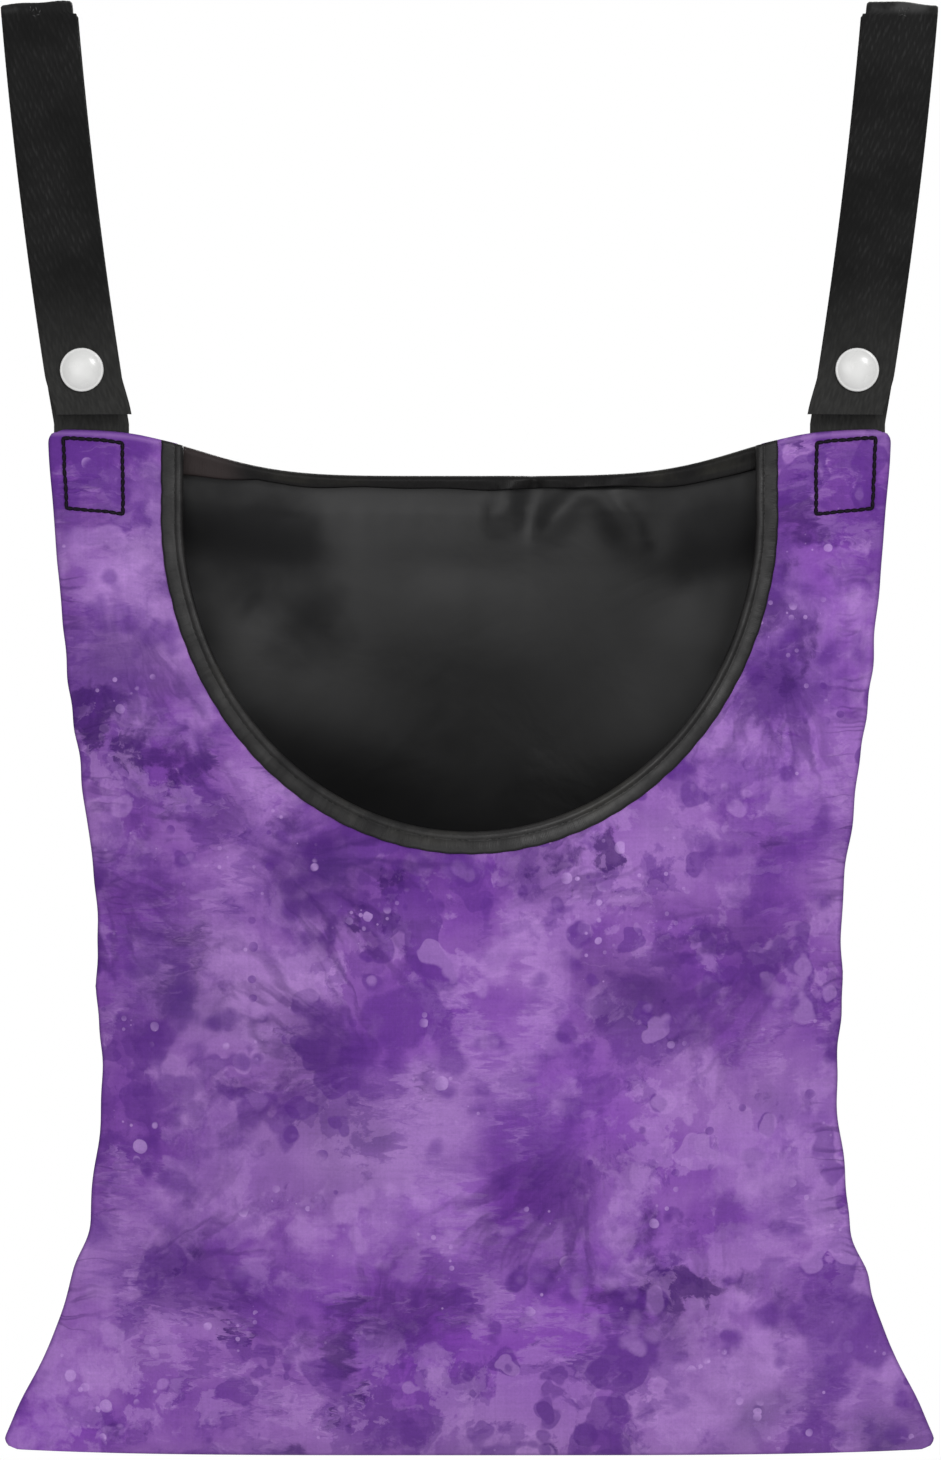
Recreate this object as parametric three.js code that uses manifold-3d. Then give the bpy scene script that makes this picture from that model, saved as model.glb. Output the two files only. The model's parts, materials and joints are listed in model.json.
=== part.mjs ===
// A hanging bag of printed cloth with a scooped mouth, on two webbing straps that fold over a
// line and close with press snaps.
// Millimetres, +Z up, the printed front faces -Y. The origin is on the hanging line, midway
// between the two strap loops, at the height where the webbing bears on the line.

import * as THREE from "three";
import { mergeVertices } from "three/addons/utils/BufferGeometryUtils.js";
import Module from "manifold-3d";

const wasm = await Module();
wasm.setup();
const { smoothstep, lerp } = THREE.MathUtils;

// Running clearance between pieces that are sewn, snapped or laid against each other
const clearance = 0.3;

// Outline of the bag, seen from the front
const bagHeight = 341.5;
const topWidth = 281;
const waistWidth = 244.5;
const waistDrop = 216.5;
const bottomWidth = 311;
const bottomCorner = 4;

// Handles of the side curve, as shares of the draw-in above the waist and of the flare below it
const drawInHandle = 0.35;
const flareHandle = 0.36;
const hipHandle = 0.68;
const hipWidening = 0.45;

// How far the free top edge of the back dips, over what half width, and how far down it is felt
const rimSag = 15;
const rimSagReach = 92;
const rimSagDepth = 60;

// How far the front and the back stand out from the side seams, and the level where they are fullest
const frontBelly = 54;
const backBelly = 38;
const bellyDrop = 211;
const bellyRoundness = 0.85;

// Mouth of the front panel: a straight drop at each side, then half an ellipse
const shoulderWidth = 38;
const mouthSide = 27;
const mouthDepth = 140.5;

// Cloth, lining and folded binding tape
const clothThickness = 0.8;
const liningThickness = 0.5;
const tapeThickness = 0.7;
const mouthTapeWidth = 7;
const rimTapeWidth = 8;

// Webbing straps
const strapWidth = 25;
const strapThickness = 1.5;
const strapDrop = 140.5;
const strapInset = 2;
const strapSpread = 17.2;
const strapBow = 5.6;
const tailDepth = 29;
const tailRoomFade = 25;
const flapLength = 135.5;
const flapDrift = 1;

// Loop over the line: width between the plies, inner radius of its two folds, place of its pivot
const loopGap = 8;
const foldRadius = 2.5;
const pivotDrop = 2;
const legStub = 1.3;

// Swing line: where the webbing bends above the bag, and the worn-round ends beside it
const swingRise = 2;
const swingSetback = 0.3;

// Press snaps
const snapDrop = 120.8;
const capDiameter = 14.5;
const capHeight = 3;
const capRim = 0.8;
const flangeDiameter = 12.6;
const snapBase = 1;
const socketRing = 2.2;
const socketDiameter = 10.8;
const socketCavity = 7;
const socketLip = 0.3;
const lipHeight = 0.6;
const studNeck = 5.2;
const postDiameter = 3;
const postProud = 0.3;

// Facets: round a snap, along the side curve and the mouth, over a panel, a ply and its folds
const snapFacets = 20;
const curveSteps = 24;
const mouthSteps = 40;
const panelColumns = 22;
const panelRows = 20;
const rimColumns = 28;
const webbingColumns = 4;
const plySteps = 16;
const tailSteps = 4;
const foldSteps = 5;
const tipShares = [0.15, 0.4, 0.7];

// Levels and planes that follow from the sizes above
const bagTopZ = -strapDrop;
const swingZ = bagTopZ + swingRise;
const backPlyY = (loopGap + strapThickness) / 2;
const seamY = backPlyY;
const pivotZ = -pivotDrop;
const snapZ = -snapDrop;
const flapEndZ = -flapLength;
const mouthHalf = topWidth / 2 - shoulderWidth;
const strapFoot = topWidth / 2 - strapInset - strapWidth / 2;
const postRadius = postDiameter / 2;
const holeRadius = postRadius + clearance;
const snapStack = snapBase * 2 + socketRing + clearance * 3;
const flapSnapY = loopGap / 2 - snapStack - strapThickness / 2;
const flapTopY = -backPlyY;

const colours = {
  print: [0x8558a4, 0.85],
  black: [0x2b2a2c, 0.6],
  webbing: [0x222224, 0.9],
  snap: [0xe9e8e6, 0.35],
};

function material([color, roughness]) {
  return new THREE.MeshStandardMaterial({ color, roughness, metalness: 0 });
}

function named(name, geometry, finish) {
  const mesh = new THREE.Mesh(geometry, material(colours[finish]));
  mesh.name = name;
  return mesh;
}

// A closed sheet of columns by rows: a front and a back face on one grid, and a wall round its edge.
// place gives the point of a grid corner on the front or the back face.
function bentSheet(columns, rows, place) {
  const points = [];
  const faces = [];
  for (const front of [true, false])
    for (let row = 0; row <= rows; row++)
      for (let column = 0; column <= columns; column++)
        points.push(...place(column, row, front).toArray());
  const backStart = (columns + 1) * (rows + 1);
  const corner = (column, row) => row * (columns + 1) + column;
  const wall = (a, b) => faces.push(a, a + backStart, b, b, a + backStart, b + backStart);
  for (let row = 0; row < rows; row++)
    for (let column = 0; column < columns; column++) {
      const [a, b] = [corner(column, row), corner(column + 1, row)];
      const [c, d] = [corner(column + 1, row + 1), corner(column, row + 1)];
      faces.push(a, b, c, a, c, d);
      const [e, f, g, h] = [a, b, c, d].map((index) => index + backStart);
      faces.push(e, g, f, e, h, g);
    }
  for (let column = 0; column < columns; column++) {
    wall(corner(column, 0), corner(column + 1, 0));
    wall(corner(column + 1, rows), corner(column, rows));
  }
  for (let row = 0; row < rows; row++) {
    wall(corner(columns, row), corner(columns, row + 1));
    wall(corner(0, row + 1), corner(0, row));
  }
  const geometry = new THREE.BufferGeometry();
  geometry.setAttribute("position", new THREE.Float32BufferAttribute(points, 3));
  geometry.setIndex(faces);
  geometry.computeVertexNormals();
  return geometry;
}

function toSolid(geometry) {
  const bare = geometry.clone();
  bare.deleteAttribute("normal");
  bare.deleteAttribute("uv");
  const merged = mergeVertices(bare, 1e-4);
  return new wasm.Manifold(
    new wasm.Mesh({
      numProp: 3,
      vertProperties: new Float32Array(merged.attributes.position.array),
      triVerts: new Uint32Array(merged.index.array),
    }),
  );
}

function toGeometry(solid) {
  const mesh = solid.getMesh();
  const geometry = new THREE.BufferGeometry();
  geometry.setAttribute("position", new THREE.BufferAttribute(mesh.vertProperties, 3));
  geometry.setIndex(new THREE.BufferAttribute(mesh.triVerts, 1));
  return geometry;
}

// Side edge of a panel as its half width over the drop below the top corners: a slow draw-in to the
// waist, a quick flare to the bottom, and a rounded corner.
function sideEdge() {
  const path = new THREE.Path();
  const [top, waist, bottom] = [topWidth / 2, waistWidth / 2, bottomWidth / 2];
  const flare = bagHeight - waistDrop;
  const cornerDrop = bagHeight - bottomCorner;
  path.moveTo(top, 0);
  const shoulder = waistDrop * drawInHandle;
  path.bezierCurveTo(top, shoulder, waist, waistDrop - shoulder, waist, waistDrop);
  path.bezierCurveTo(
    waist,
    waistDrop + flare * flareHandle,
    lerp(waist, bottom, hipWidening),
    waistDrop + flare * hipHandle,
    bottom,
    cornerDrop,
  );
  path.quadraticCurveTo(bottom, bagHeight, bottom - bottomCorner, bagHeight);
  return path.getPoints(curveSteps);
}

const sidePoints = sideEdge();

// Half width of the bag at a drop below its top corners
function halfWidth(drop) {
  const level = THREE.MathUtils.clamp(drop, 0, bagHeight);
  const next = sidePoints.findIndex((point, i) => i > 0 && point.y >= level);
  const [above, below] = [sidePoints[next - 1], sidePoints[next]];
  return lerp(above.x, below.x, (level - above.y) / (below.y - above.y));
}

// Edge of the mouth, moved inwards from the outer edge of its tape by inset
function mouthEdge(inset) {
  const path = new THREE.Path();
  const half = mouthHalf - inset;
  const scoop = mouthDepth - mouthSide - inset;
  path.moveTo(-half, 0);
  path.lineTo(-half, -mouthSide);
  path.absellipse(0, -mouthSide, half, scoop, Math.PI, Math.PI * 2, false);
  path.lineTo(half, 0);
  return path;
}

// The top edge dips between the straps, and draws the cloth below it down with it
function sagged(x, drop) {
  const dip = rimSag * Math.exp(-((Math.abs(x) / rimSagReach) ** 5));
  return drop + dip * (1 - smoothstep(drop, 0, rimSagDepth));
}

// Stand-off of a panel from the plane of the side seams, as a share of its belly
function fullness(x, drop) {
  const lowness = Math.log(0.5) / Math.log(bellyDrop / bagHeight);
  const level = THREE.MathUtils.clamp(drop / bagHeight, 0, 1);
  const rise = Math.sin(Math.PI * level ** lowness) ** bellyRoundness;
  const across = THREE.MathUtils.clamp(x / halfWidth(drop), -1, 1);
  return rise * Math.cos((Math.PI / 2) * across);
}

// Room between the inner faces at the seams: the webbing tail at the top, only a clearance below it
function seamRoom(drop) {
  const tail = strapThickness + clearance * 2;
  return lerp(tail, clearance, smoothstep(drop, tailDepth, tailDepth + tailRoomFade));
}

function frontPoint(x, drop, outwards) {
  const level = sagged(x, drop);
  const inside = seamY - seamRoom(level) / 2 - frontBelly * fullness(x, level);
  return new THREE.Vector3(x, inside - outwards, bagTopZ - level);
}

function backPoint(x, drop, outwards) {
  const level = sagged(x, drop);
  const inside = seamY + seamRoom(level) / 2 + backBelly * fullness(x, level);
  return new THREE.Vector3(x, inside + outwards, bagTopZ - level);
}

// Fold of a binding tape round a stack of cloth: how far it reaches past the edge of the stack
function tapeFold(stack) {
  return stack / 2 + clearance + tapeThickness;
}

const frontStack = liningThickness + clearance + clothThickness;
const mouthCut = mouthTapeWidth - tapeFold(frontStack);

// Corners of a panel's grid: even columns across each level, and even levels with one more at the
// start of the rounded bottom corners
const panelLevels = Array.from(
  { length: panelRows + 1 },
  (_, i) => ((bagHeight - bottomCorner) * i) / panelRows,
);
panelLevels.push(bagHeight);

function panelSheet(place) {
  const last = panelLevels.length - 1;
  return bentSheet(panelColumns, last, (column, row, front) => {
    const drop = panelLevels[last - row];
    return place(halfWidth(drop) * ((2 * column) / panelColumns - 1), drop, front);
  });
}

// The mouth as a block through the front, up to and over the top edge
function mouthCutter() {
  const shape = new THREE.Shape();
  const edge = mouthEdge(mouthCut).getSpacedPoints(mouthSteps);
  const over = rimSag + strapDrop;
  shape.setFromPoints([
    new THREE.Vector2(edge[0].x, over),
    ...edge.map((spot) => new THREE.Vector2(spot.x, -sagged(spot.x, -spot.y))),
    new THREE.Vector2(edge[mouthSteps].x, over),
  ]);
  const depth = 4 * (frontBelly + backPlyY);
  const block = new THREE.ExtrudeGeometry(shape, { depth, bevelEnabled: false });
  block.rotateX(Math.PI / 2);
  block.translate(0, depth / 2, bagTopZ);
  return toSolid(block);
}

// A layer of the front, between two distances outwards from the inner face of the bag
function frontLayer(inner, outer) {
  const whole = panelSheet((x, drop, front) => frontPoint(x, drop, front ? outer : inner));
  return toGeometry(toSolid(whole).subtract(mouthCutter()));
}

function backPanel() {
  return panelSheet((x, drop, front) => backPoint(x, drop, front ? 0 : clothThickness));
}

// Rows of a folded tape, from the edge of its front leaf round the fold to the edge of its back
// leaf: reach past the tape's free edges, and the offsets of its outer and inner face.
function tapeRows(width, stack) {
  const outer = tapeFold(stack);
  const inner = stack / 2 + clearance;
  const bend = width - outer;
  const turns = foldSteps + 1;
  const rows = [{ out: [0, outer], in: [0, inner] }];
  for (let i = 0; i <= turns; i++) {
    const angle = (Math.PI * i) / turns;
    const at = (radius) => [bend + radius * Math.sin(angle), radius * Math.cos(angle)];
    rows.push({ out: at(outer), in: at(inner) });
  }
  rows.push({ out: [0, -outer], in: [0, -inner] });
  return rows;
}

function mouthTape() {
  const rows = tapeRows(mouthTapeWidth, frontStack);
  const edges = new Map();
  const edgeAt = (inset) => {
    const key = inset.toFixed(4);
    if (!edges.has(key)) edges.set(key, mouthEdge(inset).getSpacedPoints(mouthSteps));
    return edges.get(key);
  };
  return bentSheet(mouthSteps, rows.length - 1, (column, row, outside) => {
    const [reach, offset] = outside ? rows[row].out : rows[row].in;
    const spot = edgeAt(reach)[column];
    return frontPoint(spot.x, -spot.y, frontStack / 2 + offset);
  });
}

// The tape over the free top edge of the back runs between the two ends of the mouth's tape
function rimTape() {
  const rows = tapeRows(rimTapeWidth, clothThickness);
  const half = mouthHalf - mouthTapeWidth - clearance;
  const bend = rimTapeWidth - tapeFold(clothThickness);
  return bentSheet(rimColumns, rows.length - 1, (column, row, outside) => {
    const [reach, offset] = outside ? rows[row].out : rows[row].in;
    const x = half * ((2 * column) / rimColumns - 1);
    const edge = backPoint(x, Math.max(0, bend - reach), clothThickness / 2 - offset);
    edge.z += Math.max(0, reach - bend);
    return edge;
  });
}

// Centre line of a strap and its lean from upright, at a height
function strapCentre(z) {
  const share = (z - swingZ) / -swingZ;
  return strapFoot + strapSpread * share + strapBow * share * (1 - share);
}

function strapLean(z) {
  const share = (z - swingZ) / -swingZ;
  const slope = (strapSpread + strapBow * (1 - 2 * share)) / -swingZ;
  return Math.atan(slope) * smoothstep(z, swingZ, swingZ + strapWidth);
}

function webbingPoint(sign, across, [y, z], drift = 0) {
  const lean = strapLean(z);
  const x = strapCentre(z) - drift + across * Math.cos(lean);
  return new THREE.Vector3(sign * x, y, z - across * Math.sin(lean));
}

function webbing(sign, rows, drift = () => 0) {
  return bentSheet(webbingColumns, rows.length - 1, (column, row, front) => {
    const across = sign * strapWidth * (column / webbingColumns - 0.5);
    const spot = front ? rows[row].front : rows[row].back;
    return webbingPoint(sign, across, spot, drift(spot[1]));
  });
}

// Rows of a ply between two heights, with its middle plane at middle(z)
function plyRows(from, to, count, middle) {
  return Array.from({ length: count + 1 }, (_, i) => {
    const z = lerp(from, to, i / count);
    const y = middle(z);
    return { front: [y - strapThickness / 2, z], back: [y + strapThickness / 2, z] };
  });
}

// The rounded end of a ply beside the swing line, from the tip inwards
function roundedTip(tipZ, direction, middle) {
  const radius = strapThickness / 2;
  return tipShares.map((share) => {
    const half = radius * Math.sqrt(1 - (1 - share) ** 2);
    const z = tipZ + direction * radius * share;
    return { front: [middle - half, z], back: [middle + half, z] };
  });
}

// The two folds at the top of the loop: inner faces at foldRadius, outer ones a webbing further out
const foldY = loopGap / 2 - foldRadius;
const foldZ = -foldRadius;
const crownReach = Math.hypot(foldY, foldZ - pivotZ) + foldRadius + strapThickness;
const legReach = crownReach + legStub;
const flapReach = legReach + clearance;

function foldRows(centreY, fromAngle) {
  return Array.from({ length: foldSteps + 1 }, (_, i) => {
    const angle = fromAngle + (Math.PI / 2) * (i / foldSteps);
    const at = (radius) => [centreY + radius * Math.cos(angle), foldZ + radius * Math.sin(angle)];
    return { front: at(foldRadius), back: at(foldRadius + strapThickness) };
  });
}

// Point of the face at y where a circle of the given reach about the pivot cuts the front ply
function onPivotCircle(y, reach) {
  return [y, pivotZ - Math.sqrt(reach ** 2 - y ** 2)];
}

function snapHole(sign, y) {
  const depth = strapThickness * 4;
  const hole = new THREE.CylinderGeometry(holeRadius, holeRadius, depth, snapFacets);
  hole.translate(sign * strapCentre(snapZ), y, snapZ);
  return toSolid(hole);
}

// Back ply of a strap, with the crown of its loop and the short leg in front of the line
function strap(sign) {
  const tip = swingZ + swingSetback;
  const rows = [
    ...roundedTip(tip, 1, backPlyY),
    ...plyRows(tip + strapThickness / 2, foldZ, plySteps, () => backPlyY),
    ...foldRows(foldY, 0).slice(1),
    ...foldRows(-foldY, Math.PI / 2),
  ];
  rows.push({
    front: onPivotCircle(-loopGap / 2, legReach),
    back: onPivotCircle(-loopGap / 2 - strapThickness, legReach),
  });
  return toGeometry(toSolid(webbing(sign, rows)).subtract(snapHole(sign, backPlyY)));
}

// Front ply of a strap, from its cut end up to the pivot of the loop
function strapFlap(sign) {
  const straightTop = snapZ + capDiameter;
  const middle = (z) => lerp(flapSnapY, flapTopY, smoothstep(z, straightTop, pivotZ - flapReach));
  const rows = plyRows(flapEndZ, pivotZ - flapReach, plySteps, middle);
  rows.push({
    front: onPivotCircle(flapTopY - strapThickness / 2, flapReach),
    back: onPivotCircle(flapTopY + strapThickness / 2, flapReach),
  });
  const drift = (z) => flapDrift * (1 - smoothstep(z, flapEndZ, snapZ));
  return toGeometry(toSolid(webbing(sign, rows, drift)).subtract(snapHole(sign, flapSnapY)));
}

// End of a strap that is sewn between the front and the back of the bag
function strapTail(sign) {
  const tip = swingZ - swingSetback;
  const rows = [
    ...plyRows(bagTopZ - tailDepth, tip - strapThickness / 2, tailSteps, () => seamY),
    ...roundedTip(tip, -1, seamY).reverse(),
  ];
  return bentSheet(webbingColumns, rows.length - 1, (column, row, front) => {
    const across = strapWidth * (column / webbingColumns - 0.5);
    const [y, z] = front ? rows[row].front : rows[row].back;
    return new THREE.Vector3(sign * strapFoot + across, y, z);
  });
}

function turned(profile) {
  const points = profile.map(([radius, y]) => new THREE.Vector2(radius, y));
  return new THREE.LatheGeometry(points, snapFacets);
}

// Domed cap with its post: the underside is at y = 0, the dome towards -y, the post towards +y
function snapCap(postLength) {
  const radius = capDiameter / 2;
  const steps = foldSteps + 1;
  const dome = Array.from({ length: steps + 1 }, (_, i) => {
    const angle = (Math.PI / 2) * (1 - i / steps);
    return [radius * Math.cos(angle), -capRim - (capHeight - capRim) * Math.sin(angle)];
  });
  dome[0][0] = 0;
  return turned([
    ...dome,
    [radius, -capRim / 2],
    [radius - capRim / 2, 0],
    [postRadius, 0],
    [postRadius, postLength],
    [0, postLength],
  ]);
}

// Socket: a flange against the webbing at y = 0, and a ring with a lip that the stud clicks past
function snapSocket() {
  const flange = flangeDiameter / 2;
  const ring = socketDiameter / 2;
  const cavity = socketCavity / 2;
  const height = snapBase + socketRing;
  return turned([
    [holeRadius, 0],
    [flange, 0],
    [flange, snapBase],
    [ring, snapBase],
    [ring, height],
    [cavity - socketLip, height],
    [cavity - socketLip, height - lipHeight],
    [cavity, height - lipHeight],
    [cavity, snapBase],
    [holeRadius, snapBase],
    [holeRadius, 0],
  ]);
}

// Stud: a flange against the webbing at y = 0, and a necked head that fits the socket
function snapStud() {
  const flange = flangeDiameter / 2;
  const neck = studNeck / 2;
  const head = socketCavity / 2 - socketLip - clearance;
  const height = snapBase + socketRing - postProud;
  return turned([
    [holeRadius, 0],
    [flange, 0],
    [flange, snapBase],
    [neck, snapBase],
    [neck, snapBase + lipHeight + clearance],
    [head, snapBase + lipHeight + clearance * 2],
    [head, height - clearance],
    [head - clearance, height],
    [holeRadius, height],
    [holeRadius, 0],
  ]);
}

// Places a turned snap piece on the strap's centre line, with its post along +Y or -Y
function onStrap(mesh, sign, y, backwards) {
  mesh.position.set(sign * strapCentre(snapZ), y, snapZ);
  mesh.rotation.x = backwards ? Math.PI : 0;
  return mesh;
}

const bag = new THREE.Group();
const liningOuter = liningThickness + clearance;
bag.add(
  named("front_panel", frontLayer(liningOuter, frontStack), "print"),
  named("front_lining", frontLayer(0, liningThickness), "black"),
  named("back_panel", backPanel(), "black"),
  named("mouth_binding", mouthTape(), "black"),
  named("rim_binding", rimTape(), "black"),
);

const postLength = strapThickness + clearance * 2 + snapBase + postProud;
const halfPly = strapThickness / 2;
for (const [side, sign] of [
  ["left", -1],
  ["right", 1],
]) {
  bag.add(named(`${side}_strap_tail`, strapTail(sign), "webbing"));

  const strapGroup = new THREE.Group();
  const stud = named(`${side}_snap_stud`, snapStud(), "snap");
  const rearCap = named(`${side}_snap_rear_cap`, snapCap(postLength), "snap");
  strapGroup.add(
    named(`${side}_strap`, strap(sign), "webbing"),
    onStrap(stud, sign, backPlyY - halfPly - clearance, true),
    onStrap(rearCap, sign, backPlyY + halfPly + clearance, true),
  );

  const flapGroup = new THREE.Group();
  const cap = named(`${side}_snap_cap`, snapCap(postLength), "snap");
  const socket = named(`${side}_snap_socket`, snapSocket(), "snap");
  flapGroup.add(
    named(`${side}_strap_flap`, strapFlap(sign), "webbing"),
    onStrap(cap, sign, flapSnapY - halfPly - clearance, false),
    onStrap(socket, sign, flapSnapY + halfPly + clearance, false),
  );
  bag.add(strapGroup, flapGroup);
}

export default bag;
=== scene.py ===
import json
import math

import bpy
import numpy as np
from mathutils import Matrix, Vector


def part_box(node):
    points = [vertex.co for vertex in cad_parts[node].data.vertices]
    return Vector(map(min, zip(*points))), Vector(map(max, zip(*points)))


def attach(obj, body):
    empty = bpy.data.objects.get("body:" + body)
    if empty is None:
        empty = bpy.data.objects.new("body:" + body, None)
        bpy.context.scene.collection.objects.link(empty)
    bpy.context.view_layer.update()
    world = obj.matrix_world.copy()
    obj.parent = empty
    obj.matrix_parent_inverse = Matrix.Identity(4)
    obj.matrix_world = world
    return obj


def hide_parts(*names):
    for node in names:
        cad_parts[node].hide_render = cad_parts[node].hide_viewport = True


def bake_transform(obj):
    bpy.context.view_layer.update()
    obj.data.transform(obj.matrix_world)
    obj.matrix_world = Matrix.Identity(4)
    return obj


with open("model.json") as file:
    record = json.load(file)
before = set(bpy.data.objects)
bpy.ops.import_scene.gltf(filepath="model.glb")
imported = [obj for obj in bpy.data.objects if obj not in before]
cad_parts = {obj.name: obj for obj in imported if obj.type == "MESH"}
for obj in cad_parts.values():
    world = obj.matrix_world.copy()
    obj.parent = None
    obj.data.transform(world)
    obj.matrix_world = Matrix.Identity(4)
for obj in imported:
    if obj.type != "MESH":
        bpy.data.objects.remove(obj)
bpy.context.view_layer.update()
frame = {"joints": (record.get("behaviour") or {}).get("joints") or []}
mm = 0.001


# Lengths are written in millimetres and kept in metres
def lengths(**sizes):
    return {name: size * mm for name, size in sizes.items()}


# Cut and hang of the bag; drops are measured down from its top corners
bagCut = {
    **lengths(
        waistHalf=122.25, waistDrop=216.5, corner=4, strapInset=2, topCorner=4, bottomLift=1.8,
        topRoll=1.0, rollDepth=2, frontBelly=54, backBelly=38, bellyDrop=211,
        rimSag=15.3, sagReach=94.5, sagDepth=60, shoulder=38, mouthSide=27, mouthDepth=140.5,
        tailRoom=2.1, seamRoom=0.3, tailDepth=29, tailFade=25, pinchReach=5, tailPinch=0.35, seamPinch=0.15,
        besideMouth=3.5, besideTail=5, besideDepth=6,
    ),
    "drawInHandle": 0.35, "flareHandle": 0.36, "hipHandle": 0.68, "hipWidening": 0.45,
    "bellyRound": 0.85, "sagPower": 5,
}

# The seam thread draws the sides up in short waves, and lets them wander forwards and backwards
seam = lengths(
    draw=0.34, pitch=3.3, drift=15, start=34, full=60, foot=30, footFull=90, offset=0.9,
    wander=0.55, longWave=9.1, shortWave=5.3, wanderStart=20, wanderFoot=4, wanderReach=26,
)

# Where the side seams pucker, in mm: drop, how far the edge moves out, and over what length
sidePuckers = [
    (100, -0.9, 62), (42, -0.8, 15), (112, -0.6, 9), (163, -1.0, 9), (189, 1.3, 12), (243, 0.6, 10),
    (268, -1.7, 6), (279, 0.9, 5), (325, 1.1, 10), (24, -0.7, 13), (63, -0.8, 10), (143, -1.3, 9),
    (318, -1.0, 48),
]

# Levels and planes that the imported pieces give
frontLow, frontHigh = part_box("front_panel")
tailLow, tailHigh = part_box("right_strap_tail")
flapLow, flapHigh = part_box("right_strap_flap")
capLow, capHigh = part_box("right_snap_cap")
bagTop = frontHigh.z
bagHeight = frontHigh.z - frontLow.z
bottomHalf = frontHigh.x
topHalf = tailHigh.x + bagCut["strapInset"]
mouthHalf = topHalf - bagCut["shoulder"]
seamY = (tailLow.y + tailHigh.y) / 2
strapFoot = (tailLow.x + tailHigh.x) / 2
strapWidth = tailHigh.x - tailLow.x
webbingThick = tailHigh.y - tailLow.y
snapZ = (capLow.z + capHigh.z) / 2
swingZ = frame["joints"][0]["pos_m"][2]
sides = ((-1, "left"), (1, "right"))
print("frame loaded, bag", round(bagHeight, 4), "m tall")


def smooth(value, low, high):
    t = np.clip((value - low) / (high - low), 0, 1)
    return t * t * (3 - 2 * t)


def mixed(a, b, share):
    return a + (b - a) * share


def bell(value, width):
    return np.exp(-((value / width) ** 2))


def stepLengths(path):
    return np.linalg.norm(np.diff(path, axis=0), axis=1)


def runLengths(path):
    return np.concatenate([[0], np.cumsum(stepLengths(path))])


def bezier(points, steps=90):
    t = np.linspace(0, 1, steps)[:, None]
    a, b, c, d = (np.array(p) for p in points)
    return a * (1 - t) ** 3 + 3 * b * t * (1 - t) ** 2 + 3 * c * t * t * (1 - t) + d * t ** 3


def sideCurve():
    waist, drop, corner = bagCut["waistHalf"], bagCut["waistDrop"], bagCut["corner"]
    handle = drop * bagCut["drawInHandle"]
    flare = bagHeight - drop
    hip = mixed(waist, bottomHalf, bagCut["hipWidening"])
    upper = [(topHalf, 0), (topHalf, handle), (waist, drop - handle), (waist, drop)]
    lower = [
        (waist, drop), (waist, drop + flare * bagCut["flareHandle"]),
        (hip, drop + flare * bagCut["hipHandle"]), (bottomHalf, bagHeight - corner),
    ]
    turn = np.linspace(0, math.pi / 2, 12)[:, None]
    inwards, upwards = corner * (1 - np.cos(turn)), corner * (1 - np.sin(turn))
    rounded = np.hstack([bottomHalf - inwards, bagHeight - upwards])
    return np.vstack([bezier(upper), bezier(lower)[1:], rounded[1:]])


sideLine = sideCurve()


# Half width of the bag at a drop, on the left or the right, with its puckers
def outline(drop, side):
    half = np.interp(drop, sideLine[:, 1], sideLine[:, 0])
    short = np.clip(1 - drop / bagCut["topCorner"], 0, 1)
    half = half - bagCut["topCorner"] * (1 - np.sqrt(1 - short ** 2))
    for i, pucker in enumerate(sidePuckers):
        at, out, reach = (size * mm for size in pucker)
        shift = np.where(side > 0, ((i * 37) % 5 - 2) * seam["offset"], 0)
        half = half + out * bell(drop - at - shift, reach)
    drawn = np.sin(drop / seam["pitch"] + 1.4 * np.sin(drop / seam["drift"]) + 0.9 * side)
    drawn = drawn * smooth(drop, seam["start"], seam["full"])
    return half - seam["draw"] * drawn * smooth(bagHeight - drop, seam["foot"], seam["footFull"])


# The free top edge dips between the straps and draws the cloth below it down
def sagged(x, drop):
    dip = bagCut["rimSag"] * np.exp(-((np.abs(x) / bagCut["sagReach"]) ** bagCut["sagPower"]))
    return drop + dip * (1 - smooth(drop, 0, bagCut["sagDepth"]))


# A fold is a soft ridge, in mm: x and drop of both ends, width, height and bow; it fades to both ends
def fold(ax, ad, bx, bd, width, height, bow=0, rise=0.3, fall=0.6):
    return [size * mm for size in (ax, ad, bx, bd, width, height, bow)] + [rise, fall]


def foldHeight(x, drop, folds):
    total = np.zeros_like(x)
    overrun = 0.15
    for ax, ad, bx, bd, width, height, bow, rise, fall in folds:
        along = np.hypot(bx - ax, bd - ad)
        dx, dd = (bx - ax) / along, (bd - ad) / along
        t = ((x - ax) * dx + (drop - ad) * dd) / along
        off = (x - ax) * dd - (drop - ad) * dx
        off = off - bow * (1 - (2 * t - 1) ** 2)
        fade = smooth(t, -overrun, rise) * (1 - smooth(t, fall, 1 + overrun))
        total += height * fade * bell(off, width)
    return total


def seamWander(drop, side):
    wave = np.sin(drop / seam["longWave"] + side * 0.8)
    wave = wave + 0.7 * np.sin(drop / seam["shortWave"] + 2 + side)
    wave = wave * smooth(drop, seam["wanderStart"], seam["full"])
    return seam["wander"] * wave * smooth(bagHeight - drop, seam["wanderFoot"], seam["foot"])


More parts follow.
